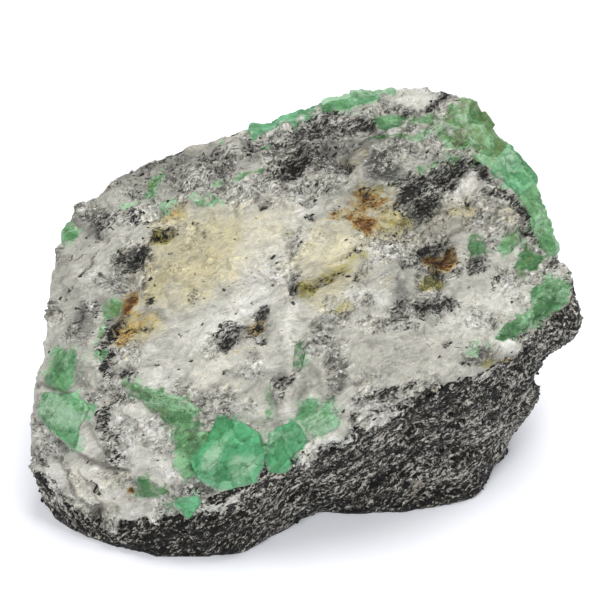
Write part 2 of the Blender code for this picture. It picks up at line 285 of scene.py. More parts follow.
def makeSkin():
    # the outside of the whole stone as one closed surface without the grooves between its pieces
    grown = []
    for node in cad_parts:
        part = plainCopy(node, "part")
        mesh = remeshed(part, skin["nodeVoxel"], 1)
        setPoints(mesh, pointsOf(mesh) + normalsOf(mesh) * skin["grow"])
        grown.append(part)
    whole = grown[0]
    with bpy.context.temp_override(active_object=whole, selected_editable_objects=grown):
        bpy.ops.object.join()
    mesh = remeshed(whole, skin["voxel"], skin["rounds"])
    setPoints(mesh, pointsOf(mesh) - normalsOf(mesh) * skin["grow"])
    tree, _ = surfaceTree([mesh])
    bpy.data.objects.remove(whole)
    return tree


def underSkin(points):
    # depth under the skin, and the skin's slope there
    near = findNearest(skinTree, points, skin["reach"])
    return -near["outside"], near["slope"]


def fineCopy(node, name, voxel, rounds):
    # a node's shape again as a fine mesh, coarse where its neighbours bury it
    shape = plainCopy(node, name)
    mesh = remeshed(shape, voxel, rounds)
    depth, _ = underSkin(pointsOf(mesh))
    buried = depth > skin["buried"]
    share, number = skin["thinFrom"]
    if buried.mean() > share and len(buried) > number:
        group = shape.vertex_groups.new(name="buried")
        group.add([int(index) for index in np.flatnonzero(buried)], 1, "REPLACE")
        thin = shape.modifiers.new("Decimate", "DECIMATE")
        thin.vertex_group = "buried"
        thin.ratio = 1 - buried.mean() * (1 - skin["buriedShare"])
        mesh = settle(shape)
    start = pointsOf(mesh)
    depth, slope = underSkin(start)
    rise = np.clip(depth, 0, skin["fill"]) * (1 - smooth(skin["fill"], skin["fillEnd"], depth))
    setPoints(mesh, start + slope * rise[:, None])
    mesh.shade_smooth()
    return shape


contact = {
    # where the contact runs along the front: across, back, height
    "front": ((-61, -22, 13), (-42, -22, 7.2), (-39.6, -25, 6.4), (-36, -26, 3.8), (-30, -28, 3.5),
              (-23.6, -30, 7), (-16.6, -31, 9.7), (-6, -30, 15.5), (6.5, -26, 20.5), (17, -23.5, 25.8),
              (30, -16, 25.3), (42.5, -4.5, 26.8), (60, 5, 26.8)),
    "climb": 0.26,  # rise for each millimetre back
}


def layerHeight(points):
    # height above the contact, which the schist's layers follow
    x, y, z = points.T
    across, back, height = np.array(contact["front"]).T
    line = np.interp(x, across, height)
    start = np.interp(x, across, back)
    return z - line - contact["climb"] * (y - start)


unevenness = {
    "drift": ((3.2, 0.34, 101), (1.3, 0.14, 131)),  # spacing, reach and seed of the sideways wander
    "swell": ((9, 0.4, 151), (4, 0.3, 157), (1.9, 0.14, 163)),  # the same for what bulges out or in
    "middle": (0, 0, 20),
    "sole": (0.15, 1.6),  # heights between which the flat sole takes over
}


def uneven(points):
    # moves neighbouring pieces alike, so that their edges still meet
    drift = [summedWaves(points, unevenness["drift"], 3 * axis) for axis in range(3)]
    outward = points - np.array(unevenness["middle"])
    outward /= np.linalg.norm(outward, axis=1)[:, None]
    swell = outward * summedWaves(points, unevenness["swell"])[:, None]
    fade = smooth(*unevenness["sole"], points[:, 2])[:, None]
    return points + (np.stack(drift, axis=1) + swell) * fade


def turnedAxes(degrees):
    # directions along a line in the drawing, across it, and out of the drawing
    right, above, forward = eyeAxes()
    turn = math.radians(degrees)
    along = right * math.cos(turn) + above * math.sin(turn)
    aside = above * math.cos(turn) - right * math.sin(turn)
    return np.stack((along, aside, -forward))


facing = (0.02, 0.3)  # how far surfaces turn to the eye where the marks fade in


def towardsEye(mesh):
    # 1 on surfaces square to the eye, 0 on those edge-on to it, and below 0 on those turned away
    return normalsOf(mesh) @ -eyeAxes()[2]


# Each mark is an ellipse in the drawing: across, up, half length, half width, turn in degrees, strength.
veinMarks = {
    "mica": {
        "saddle": (-0.8, 21.2, 4.2, 2.1, 25, 0.95),
        "saddleRight": (2.6, 22.6, 3, 1.5, 10, 0.7),
        "crownBand": (2.8, 27, 5, 1.7, 26, 0.85),
        "crownBandRight": (7.5, 27.6, 2.6, 1, 20, 0.7),
        "crownGrey": (6, 24, 4.5, 1.3, 14, 0.45),
        "crownSpeck": (10, 28.3, 2, 0.9, 12, 0.8),
        "crownDot": (17.3, 29.7, 1.3, 0.8, 15, 0.9),
        "notch": (22.4, 32, 2.8, 0.7, 38, 0.9),
        "notchFoot": (20.6, 30.6, 1.2, 0.5, 10, 0.9),
        "heavyBand": (19.8, 18, 6.8, 2.2, 36, 0.92),
        "heavyLeft": (16, 18.8, 2.4, 1.5, 20, 0.8),
        "heavyHead": (25.2, 21.3, 1.7, 1.3, 40, 1),
        "heavyTail": (15.9, 15, 1.7, 1, 25, 0.9),
        "edgeBandTop": (31.8, 16.9, 2.2, 0.6, -12, 0.85),
        "edgeBandMiddle": (34.6, 14.6, 2.6, 0.75, -47, 0.85),
        "edgeBandFoot": (36.6, 11.6, 2.4, 0.7, -68, 0.75),
        "edgeBandLast": (37.8, 8.9, 1.6, 0.5, -70, 0.5),
        "peppered": (22.6, 13.4, 7, 2.2, 20, 0.34),
        "pepperedLow": (17, 10.4, 5, 2, 25, 0.3),
        "leftOfRust": (1.8, 13.3, 0.9, 0.6, 0, 0.95),
        "aboveRust": (7.3, 21.1, 1, 1.2, 30, 0.7),
        "aboveRustLeft": (1.2, 17.5, 2.6, 2.2, 20, 0.36),
        "farEdgeSpeckle": (-20.6, 20.8, 9.6, 2, 18, 0.36),
        "farEdgeSpeckleRight": (-13.6, 22.6, 3.8, 1.4, 15, 0.55),
        "farEdgeDark": (-24, 24.2, 4, 0.6, 20, 0.5),
        "farEdgeRight": (-7, 25.2, 5, 0.9, 22, 0.5),
        "leftBand": (-25.8, 6.6, 3.6, 1.3, 50, 0.85),
        "leftBandHead": (-22.2, 10, 2.2, 0.9, 30, 0.7),
        "leftLine": (-32.2, 11.6, 3, 0.5, 72, 0.75),
        "leftThinLine": (-34.4, 5, 5, 0.3, 53, 0.7),
        "leftDot": (-26.9, 13.8, 1.1, 0.6, 5, 0.75),
        "leftHair": (-24.8, 12.6, 2.6, 0.22, 18, 0.65),
        "dotMiddle": (-5.9, 14, 0.6, 0.4, 0, 1),
        "dotLower": (-4.4, 1.8, 0.5, 0.35, 10, 0.9),
        "dotLeftUpper": (-17, 12.3, 0.8, 0.35, -15, 0.8),
        "dotLeftLower": (-15.2, 10.4, 0.5, 0.6, 30, 0.6),
        "midSpeckle": (-1.8, 8.4, 1.1, 1.6, 20, 0.36),
        "midColumn": (-0.6, 1.6, 0.8, 2, -10, 0.85),
        "oliveLine": (4.6, 3.2, 3.4, 0.7, 33, 0.5),
        "oliveLineUpper": (8.8, 7.4, 3, 0.6, 24, 0.5),
        "smallDark": (8.9, 3.2, 1, 0.5, 60, 0.85),
        "leftBandMiddle": (-27.6, 5.2, 2.6, 1.2, 40, 0.8),
        "leftUpperSpecks": (-26.4, 13, 2, 0.9, 10, 0.7),
        "crownLeftEdge": (3, 29, 5, 1, 14, 0.8),
        "byHead": (28.8, 20.4, 2.4, 1.3, -20, 0.85),
        "rightOfSpot": (24, 4.4, 2, 1, 20, 0.6),
        "quartzTop": (18, 6.2, 2.4, 0.8, 20, 0.6),
        "leftEdgePatch": (-34.2, -1.2, 1.8, 1.6, 0, 0.55),
        "byRust": (-23.8, -0.2, 0.8, 0.8, 0, 0.85),
        "farLeftOpen": (-16.8, 0, 1.5, 1.1, 0, 0.55),
        "blackVein": (-30, -5.2, 3.6, 0.8, 50, 0.95),
        "blackVeinBranch": (-25.8, -5, 2.5, 0.4, 6, 0.8),
        "blackVeinSide": (-35.7, -4.4, 2.4, 0.8, 65, 0.5),
        "leftLower": (-29.9, -15.8, 1.4, 0.9, 30, 0.65),
        "leftFoot": (-29.9, -23.2, 2.4, 1, 60, 0.65),
        "footDot": (-32.6, -30.2, 1.2, 0.5, -50, 0.9),
        "pairLeft": (-11.8, -6.4, 1.2, 1.2, 30, 1),
        "pairRight": (-7.4, -4.8, 2.4, 1.1, 40, 0.7),
        "pairDot": (-11.8, -11.7, 0.7, 0.6, 0, 0.7),
        "hairMiddle": (-24, -10.4, 1.5, 0.2, 5, 0.8),
        "hairLong": (-17, -4.6, 2.6, 0.16, 25, 0.6),
        "frontPatch": (-3.2, -13, 2.4, 0.8, 20, 0.5),
        "frontDot": (0.2, -8, 1.2, 0.6, 40, 0.6),
        "rightSpeckle": (19.4, -0.9, 5, 1.2, 6, 0.5),
        "rightSpeckleLow": (15.4, -3, 2.6, 0.8, 20, 0.5),
        "darkByGreen": (23.7, -7, 1, 0.6, 20, 0.8),
        "greenZone": (27.2, -7.4, 2.6, 1.1, 10, 0.35),
        "rightCrack": (30.4, 1.4, 0.3, 1.8, 0, 0.9),
        "pinDot": (25.9, -10.2, 0.35, 0.3, 0, 1),
        "pinDotLeft": (22.6, -9.2, 0.3, 0.25, 0, 1),
        "footPatch": (9.6, -19.4, 1.3, 0.8, 0, 0.85),
        "greenDot": (-21.3, 15.9, 0.5, 0.35, 0, 1),
        "farEdgeBlack": (-21.6, 22.6, 3.4, 1.1, 15, 0.8),
        "farEdgeMiddle": (-5.6, 24.8, 5, 1.1, 12, 0.75),
        "leftBandWide": (-26.6, 7, 3.4, 2.2, 45, 0.6),
        "chainTop": (-32.4, -1.8, 1.6, 1.2, 60, 0.75),
        "chainUpper": (-31.4, -6.6, 2.6, 0.8, 75, 0.85),
        "chainMiddle": (-30.8, -10, 2.4, 1.1, 100, 0.9),
        "chainLower": (-32, -18.6, 2.2, 1.2, 80, 0.9),
        "chainFoot": (-30.2, -23, 3, 1.4, 115, 0.85),
        "chainSide": (-27.8, -12, 1.8, 0.9, 20, 0.6),
        "bandSide": (20.4, 15, 2.8, 2, 30, 0.85),
        "byRightSpot": (20.6, 8.4, 3.2, 1, 25, 0.8),
        "rightSpotFoot": (22.4, 3.6, 1.6, 1, 0, 0.6),
        "byEdgeTop": (29.6, 20.8, 1.6, 1, -20, 0.8),
        "underDotRight": (28, 5.6, 1.2, 2, 0, 0.6),
        # painted shade under the front crystal, laid on as dark mica
        "shadeUnderFront": (-15.6, -29.8, 3, 0.7, 0, 0.7),
        "aboveMiddleRust": (10.8, 16.8, 1.6, 0.8, 20, 0.6),
        "leftOfMiddleRust": (5.6, 14.4, 1.1, 0.7, -10, 0.6),
        "granularTop": (21.4, -2, 4, 1.3, 8, 0.8),
        "granularTopLeft": (16.2, -4, 1.6, 1, 20, 0.6),
        "pairUpper": (-6.2, -2.2, 1.6, 1, 30, 0.85),
        "pairFoot": (-6.2, -6.4, 1.2, 0.8, 0, 0.85),
        "crestLine": (2, 28.2, 5.4, 1.2, 14, 0.8),
        "leftBandCore": (-25.2, 7.6, 2, 1.6, 50, 0.95),
        "leftCornerSpecks": (-30.4, 12.8, 3.6, 1.6, 20, 0.6),
        "edgeBlack": (32.8, 17.4, 2.2, 1.3, -40, 0.85),
        "edgeBlackMiddle": (34.7, 16.2, 1.6, 0.8, -50, 0.9),
        "edgeBlackLow": (36.6, 13, 2.6, 0.6, -62, 0.85),
        "chainUnder": (-27.4, -16.2, 2.6, 1, 10, 0.6),
        "chainRight": (-32, -20.2, 1.2, 1.2, 0, 0.85),
        "chainFootRight": (-29.4, -25, 1.6, 1, 30, 0.8),
        "cornerSpot": (-40.6, -26.4, 1, 0.8, 0, 0.9),
        "lumpFoot": (-30.6, -36, 2.4, 1, 0, 0.5),
        # painted shade beside the foot of the front crystal, laid on as dark mica
        "shadeByFront": (-15.8, -29.9, 2.2, 1, 10, 0.9),
        "rightSpotHalo": (21.4, 5.8, 3.6, 1.9, 10, 0.55),
        "byRightSpotLow": (28, 4.8, 1.4, 1, 0, 0.6),
        "granularSpot": (22.4, -2.6, 1.6, 1.2, 0, 0.85),
        "granularLeft": (16, -2.4, 1.8, 1.1, 0, 0.7),
        "pairBrown": (-11.4, -4.8, 2.4, 1, 20, 0.8),
        "underMiddleRust": (7.8, 13, 1.4, 0.3, -10, 0.6),
        "contactLine": (14.8, -15.2, 5.6, 1, 14, 0.9),
        "bladeCrack": (-1.8, -12.8, 0.5, 2.4, -20, 0.7),
    },
    "shade": {
        "farMiddle": (-12, 20.8, 2.6, 1.4, 15, 0.7),
        "farMiddleBand": (-4, 23.6, 6, 1.6, 14, 0.7),
        "farLeft": (-20, 18.2, 1.4, 2, 20, 0.6),
        "leftCorner": (-33, 12.4, 2.8, 2.2, 40, 0.7),
        "leftMiddle": (-28.8, -2.4, 2.4, 3, 0, 0.6),
        "leftLow": (-28, -12, 2.6, 2, 20, 0.6),
        "leftFoot": (-38, -23, 2, 1.6, 0, 0.6),
        "leftYellow": (-22.9, -2.4, 1.2, 2.4, 70, 0.5),
        "pair": (-10.6, -5.6, 4, 1.6, 20, 0.5),
        "pairRight": (-5.8, -4.4, 1.4, 3, 80, 0.5),
        "byBlades": (-3.4, -14, 1.8, 2.8, 0, 0.8),
        "byBladesRight": (5.4, -13, 1.5, 6.6, 0, 0.7),
        "crownRight": (13, 21, 3.2, 1.8, 10, 0.9),
        "corner": (18, 29.4, 5, 1.8, 20, 0.5),
        "cornerEdge": (24.6, 25.4, 2, 1.4, 30, 0.6),
        "middleRust": (6.4, 14, 2.6, 1.3, 0, 0.3),
        "bandFoot": (19.4, 13.4, 4, 2, 20, 0.7),
        "rightSpot": (21.6, 7.4, 3.6, 2.4, 20, 0.7),
        "rightSpotFoot": (22, 3, 2.6, 1.8, 0, 0.7),
        "bigQuartzRight": (16.4, 0.4, 1.6, 3, 0, 0.6),
        "besideRight": (23.6, 19, 2, 2.4, 0, 0.5),
        "edge": (35.6, 10, 1.6, 2, 30, 0.6),
        "underDot": (28, 5.8, 1.6, 2.6, 0, 0.6),
        "byBar": (28.4, -9, 3.8, 1.6, 10, 0.8),
        "olive": (3.6, 2.4, 3.2, 1.2, 25, 0.4),
        "lowMiddle": (6.4, -18.8, 3, 1.2, 15, 0.5),
        "upperRight": (16, 17.4, 11, 8, 20, 0.32),
        "farEdge": (-20, 21.6, 12, 3, 18, 0.35),
        "farEdgeLeft": (-32.6, 17.6, 3.4, 1.4, 30, 0.8),
        "farEdgeTop": (-22.4, 22.8, 3.4, 1, 20, 0.6),
        "leftSide": (-35.6, -3.6, 2.4, 4.6, 0, 0.65),
        "leftSideLow": (-34.6, -11.6, 1.6, 3, 0, 0.6),
        "leftEdge": (-39.4, 6.4, 1, 3.4, -10, 0.4),
        "byHead": (28.8, 20.4, 3, 2, -20, 0.7),
        "quartzTop": (19, 6, 3.4, 1.8, 20, 0.6),
        "leftBand": (-26.4, 6.4, 3.6, 2.6, 40, 0.7),
        "crest": (14.6, 32.4, 5.6, 1.3, 8, 0.5),
        "crestCorner": (23.6, 33, 1.6, 1, 20, 0.7),
        "aroundMiddleRust": (9.8, 15.6, 5, 1.6, 8, 0.4),
        "granularTop": (21, -1.6, 4.4, 2, 8, 0.6),
        "pairUpper": (-6, -3, 1.8, 2.8, 0, 0.5),
        "farEdgeNear": (-25.6, 20.6, 4, 1.2, 22, 0.6),
        "rightUnderEdge": (35, 4.6, 1.8, 1.4, 0, 0.5),
        "crownFoot": (14.4, 30.6, 3.4, 1.6, 10, 0.5),
        "crownAboveRust": (9, 18, 5, 2, 10, 0.5),
        "crownBroad": (9, 24.6, 13, 6, 15, 0.55),
        "leftEndBroad": (-37.4, 2, 3, 8, 10, 0.35),
        "leftEndTop": (-37, 12.4, 2.4, 2, 40, 0.7),
        "edgeByBar": (25, 2, 8, 6, 20, 0.3),
        "farBroad": (-18, 20, 14, 4, 18, 0.4),
        "pepperBroad": (21, 12, 8, 6, 20, 0.35),
    },
    "rust": {
        "leftSpot": (-27.7, -0.7, 1.5, 1.6, 0, 1),
        "leftHalo": (-26.5, -3.8, 3.4, 2.8, 20, 0.5),
        "leftUnder": (-28, -5.9, 1.8, 0.9, 15, 0.7),
        "leftOrange": (-19.8, 13.9, 2.7, 1.3, 20, 0.36),
        "leftOrangeLow": (-24, 5.5, 1.4, 0.8, 40, 0.3),
        "middleDot": (5.5, 13.9, 1.2, 0.8, -10, 0.95),
        "middleUnder": (6.3, 12.7, 2.2, 0.5, -5, 0.72),
        "middleSpot": (10.6, 11.7, 2, 1.9, 20, 1),
        "middleUpper": (10, 16.2, 2, 2.2, 50, 0.7),
        "middleJoin": (9.4, 13.4, 2.6, 1.4, 20, 0.8),
        "middleHalo": (11, 14, 5, 3.4, 20, 0.46),
        "rightSpot": (22.2, 6.4, 2.6, 1.7, 25, 0.95),
        "rightSpotLow": (22, 4.6, 1.8, 1.4, 0, 0.5),
        "pair": (-7.2, -4.6, 2.8, 1.3, 38, 0.55),
        "footDot": (-27.2, -31, 0.7, 0.5, 0, 0.8),
        "byCream": (26.2, 14.4, 1.6, 0.9, 0, 0.25),
        "crown": (8.5, 23.4, 2.4, 0.8, 10, 0.22),
        "aboveMiddle": (11.2, 15.2, 2.6, 1.2, 20, 0.9),
        "leftOfMiddle": (7, 14, 2.4, 1, 0, 0.6),
        "leftUnderDark": (-29, -7, 1.4, 0.8, 20, 0.6),
    },
    "cream": {
        "broad": (-16.2, 6.6, 10.5, 6.8, 28, 0.95),
        "broadRight": (-6, 11.5, 6, 3.6, 20, 0.6),
        "yellow": (-23, 2, 3.4, 2.2, 30, 1.2),
        "leftYellow": (-25.4, -4, 4, 3, 20, 0.8),
        "upperOrange": (-20.3, 13.3, 4, 2.2, 25, 0.9),
        "middle": (4, 8, 7, 4.2, 25, 0.75),
        "underRust": (15, 11.8, 3, 2.2, 15, 0.9),
        "belowMiddle": (5.4, 3, 6, 3.6, 30, 0.8),
        "feldsparRight": (33.2, 13.6, 2.2, 1.6, -30, 0.62),
        "feldsparLeft": (25.8, 14, 2.2, 1.3, 0, 0.85),
        "footLump": (-32.8, -30.4, 6.4, 5.2, 20, 0.35),
        "pepper": (22, 12.4, 7, 4, 20, 0.4),
        "crown": (9, 22.4, 3, 1.5, 10, 0.6),
        "blades": (-2, -17, 1, 3, 0, 0.35),
        "leftOfBlades": (-13, -11, 6, 3, 25, 0.35),
    },
    "olive": {
        "diagonal": (6.2, 4.6, 6.4, 1.3, 33, 0.76),
        "diagonalFoot": (1.6, 1.2, 2.4, 1.4, 20, 1),
        "lowerPatch": (6.4, -1.4, 2, 1.3, 20, 0.7),
        "leftHead": (-21.8, 9.9, 2.2, 1, 28, 0.85),
        "rightUnder": (21, 2.4, 2.6, 1.2, 0, 1),
        "besideRust": (15.4, 12.6, 2.6, 1.8, 10, 0.7),
        "upperHalo": (13.2, 17, 3, 1.6, 30, 0.6),
        "byBar": (30.4, -10.2, 2.2, 1, 15, 0.8),
        "leftYellow": (-23.4, 2.2, 2.4, 1.6, 40, 0.45),
    },
    "green": {
        "topLeft": (-23.3, 18.2, 2.6, 1.1, 50, 0.75),
        "leftStreak": (-27, 15.5, 2.4, 0.9, 15, 0.7),
        "dotRim": (-21.1, 15.4, 1.5, 1.1, 10, 0.85),
        "middleCluster": (-14.8, 15.6, 3, 1.2, -28, 0.85),
        "smallUpper": (-13, 18.6, 1.1, 0.6, 10, 0.85),
        "thinStreak": (-8.8, 19.9, 3.3, 0.3, 12, 0.85),
        "leftBright": (-30, -1.8, 1.4, 1, 40, 1),
        "leftStripe": (-31.8, -4.9, 3.4, 0.7, 60, 0.6),
        "leftLow": (-32, -8.6, 1.2, 0.9, 40, 0.8),
        "leftPale": (-34.6, -8.4, 1.7, 1.8, 40, 0.36),
        "farLeftEdge": (-33, 16.4, 1.8, 0.5, 40, 0.5),
        "farEdgeDot": (-12.6, 24.5, 0.6, 0.8, 0, 0.8),
        "crownDot": (-5.4, 24.3, 1.2, 0.4, 10, 0.9),
        "bladeSide": (-4.8, -17, 1.2, 2.6, 0, 0.5),
        "byBar": (28, -7.6, 3, 1.6, 15, 0.45),
        "cornerStreaks": (25.4, 28.4, 4.6, 2.6, 25, 0.8),
        "cornerLow": (25, 24, 3.6, 2, 35, 0.66),
        "cornerLeft": (19.4, 29, 3.4, 1.2, 20, 0.55),
        "longStreak": (14.4, 26, 3.6, 0.6, 8, 0.8),
        "longStreakRight": (20.6, 26.8, 3, 0.7, 20, 0.7),
        "shortStreak": (20.2, 21.2, 2.2, 0.8, 30, 0.6),
        "greyish": (14.6, 20, 3.4, 2.4, 20, 0.26),
        "underRust": (20.6, 2.4, 1.6, 0.8, 0, 0.32),
    },
    "grey": {
        "bigQuartz": (14.4, 3, 3.6, 3.4, -20, 0.95),
        "bigQuartzLow": (17, 0.6, 3, 1.6, 10, 0.6),
        "granular": (15, -10, 9, 5.4, 10, 0.6),
        "granularRight": (21, -6, 5, 3, 10, 0.8),
        "leftEnd": (-37, 2, 2.4, 7, 15, 0.75),
        "leftSlope": (-35.4, 10, 3, 4, 50, 0.8),
        "wedge": (1.2, -12.8, 1.8, 3.4, -20, 0.85),
        "smooth": (-8.6, 21.4, 2.6, 1.2, 12, 0.75),
        "farEdge": (-19, 22, 11, 2.6, 18, 0.7),
        "crown": (8, 24.4, 6, 2, 14, 0.75),
        "corner": (24, 10.5, 6, 3, 0, 0.5),
        "lilac": (27, 1.4, 4, 1.6, 10, 0.6),
        "lowMiddle": (-9, -8.6, 3.4, 1.6, 25, 0.5),
        "aboveFront": (-3, -10, 3, 3, 0, 0.5),
    },
    "white": {
        "rightShelf": (31, -0.4, 6.2, 2.2, 14, 0.7),
        "rightShelfLow": (26, -3.8, 4, 1.4, 10, 0.6),
        "openMiddle": (-8, -0.6, 3.6, 2, 25, 0.9),
        "openLow": (-14, -4.6, 5, 2, 25, 0.6),
        "crownStrip": (18.2, 32.6, 4.2, 1.6, 8, 0.7),
        "cornerStrip": (15.6, 28, 3.6, 0.6, 12, 0.6),
        "aboveGreen": (-10.6, 24, 1.5, 1, 0, 0.7),
        "chip": (0, -25, 2.1, 2.2, 0, 1),
        "contactLump": (4.3, -22.6, 2.1, 1.8, 0, 0.8),
        "blades": (-2, -17, 0.9, 3.2, 4, 0.9),
        "leftLump": (-25.9, -22.8, 5.4, 6, 0, 0.6),
        "leftMiddle": (-24, -13, 6, 3, 20, 0.5),
        "grain": (32, -7.6, 2.2, 1.2, -5, 1.3),
        "quartzFoot": (13.4, 0.2, 1.6, 1.4, 0, 0.7),
        "columnLeft": (-2.4, 5.6, 1, 3, -5, 0.6),
        "columnUpper": (-2, 12.4, 1, 4, 5, 0.5),
        "rightOfBand": (26.4, 18.4, 2.6, 1.4, 30, 0.8),
        "underBar": (26, -3.4, 7, 2, 12, 0.4),
        "creamMiddle": (-7, 7.4, 4.4, 7, -30, 0.45),
        "middleRight": (7.2, 7.2, 3, 1.8, 20, 0.6),
        "aboveQuartz": (8.8, 0.2, 3.4, 1, 15, 0.7),
        "column": (-1.2, -4, 0.9, 5, 0, 0.8),
        "lowLeft": (-13.6, -11.2, 4.6, 2, 20, 0.6),
        "middleUpper": (1.6, 8.6, 2, 2.6, 0, 0.6),
        "underRust": (15.2, 12.6, 2.4, 1.2, 10, 0.6),
        "lumpFoot": (-26, -34, 4, 2, 10, 0.6),
        "lumpLeft": (-33.8, -24, 1.8, 3.4, 20, 0.5),
        "cornerFoot": (-39, -28.4, 2.6, 3, 20, 0.8),
        "lumpMiddle": (-33.4, -29.6, 4.6, 3.2, -30, 0.8),
        "lumpCrown": (-31, -23, 2.6, 1.6, 0, 0.6),
        "lumpShoulder": (-21.4, -27.4, 2.4, 2, 0, 0.8),
        "besideFront": (-14, -26.4, 1, 0.8, 0, 0.5),
        "spillTop": (9.8, -17.4, 3.4, 1, 12, 0.8),
        "spillFoot": (13.4, -19.4, 3.2, 1, 20, 0.8),
        "aboveFront": (-9.4, -18.6, 2.6, 0.9, 20, 0.8),
        "aboveFlank": (-21, -15, 2.4, 0.7, -20, 0.7),
        "underPair": (-8, -11, 2.6, 1, 0, 0.6),
        "crownRightOfRust": (11.6, 7.6, 2.4, 0.9, 10, 0.6),
        "columnHead": (0, 15.6, 1, 2, 0, 0.6),
    },
}
# Broken edges that stand out, or lie sunk: across, up, half length, half width, turn and height.
raised = {
    "grain": (32, -7.6, 2, 0.95, -5, 1.0),
    "bladeLeft": (-2.6, -15.6, 4.2, 0.8, 80, 0.6),
    "bladeRight": (-0.6, -16.4, 3.8, 0.5, 74, 0.8),
    "wedge": (1.3, -13.4, 3.4, 1.6, -70, -0.5),
    "chip": (0.2, -24.8, 2.4, 1.5, 25, 0.6),
    "contactLump": (4.6, -22.2, 3, 1.3, 20, 0.6),
    "bigQuartz": (14.8, 2.6, 3.8, 2.8, -15, 0.45),
    "middlePlate": (-9, -9.6, 3.4, 2.2, 20, 0.4),
    "quartzByColumn": (4.4, -9.6, 2.6, 4.4, 10, 0.4),
    "creamPlate": (-15, 4, 7, 5, 30, 0.35),
    "creamPlateRight": (-6.4, 13, 4.4, 4, 20, 0.35),
    "shelf": (30, 0.2, 5.6, 2.2, 16, 0.5),
    "feldspar": (33.4, 12.6, 1.9, 2.2, 0, 0.5),
    "feldsparLeft": (26, 13.6, 2, 1.4, 0, 0.4),
    "lumpUpper": (-25.6, -21, 4.6, 4.6, 0, 0.6),
    "lumpLower": (-33.6, -29.4, 4.6, 3.2, -30, 0.7),
    "lumpOuter": (-38.6, -27.4, 2, 3.6, 15, 0.5),
    "rightStep": (24.4, -2.4, 4, 2, 14, 0.35),
}
raisedEdge = 0.16
markEdge = 0.6  # how far a mark fades in and out round its ellipse, as a share of its size
markWander = ((3.4, 1.0, 181), (1.2, 0.45, 187))  # spacing, reach and seed of the wander of its outline
markSteady = 1.4  # half width under which it keeps nearer to its place


def painted(marks, points, seen, edge=markEdge):
    # strength of a kind of mark at each point, on surfaces turned to the eye
    x, y = drawn(points).T
    drift = [summedWaves(points, markWander, side) for side in (0, 3)]
    total = np.zeros(len(points))
    for across, up, long, short, turn, strength in marks.values():
        angle = math.radians(turn)
        share = min(1, short / markSteady)
        right = x - across + drift[0] * share
        above = y - up + drift[1] * share
        along = right * math.cos(angle) + above * math.sin(angle)
        aside = above * math.cos(angle) - right * math.sin(angle)
        reach = np.hypot(along / long, aside / short)
        here = strength * (1 - smooth(1 - edge, 1 + edge, reach))
        total = np.where(abs(here) > abs(total), here, total)
    return total * seen


def hiddenPatches(points, seed, share):
    # natural patches for the sides that the marks don't reach
    field = waves(points, 7, seed, 3)
    return smooth(0.75 - share, 1.25 - share, field)


def surfaceValues(kinds, hiddenShares, points, seen):
    # the strength of each kind of mark on every side
    values = {kind: painted(marks, points, seen) for kind, marks in kinds.items()}
    for kind, (seed, share) in hiddenShares.items():
        values[kind] = np.maximum(values[kind], (1 - seen) * hiddenPatches(points, seed, share))
    return values


def finishSurface(shape, points, lift, values):
    # lifts the points off the surface, keeps them above the floor, and stores what the material reads
    mesh = shape.data
    points = points + normalsOf(mesh) * lift[:, None]
    points[:, 2] = np.maximum(points[:, 2], 0)
    setPoints(mesh, points)
    for kind, found in values.items():
        storeValues(mesh, kind, found)
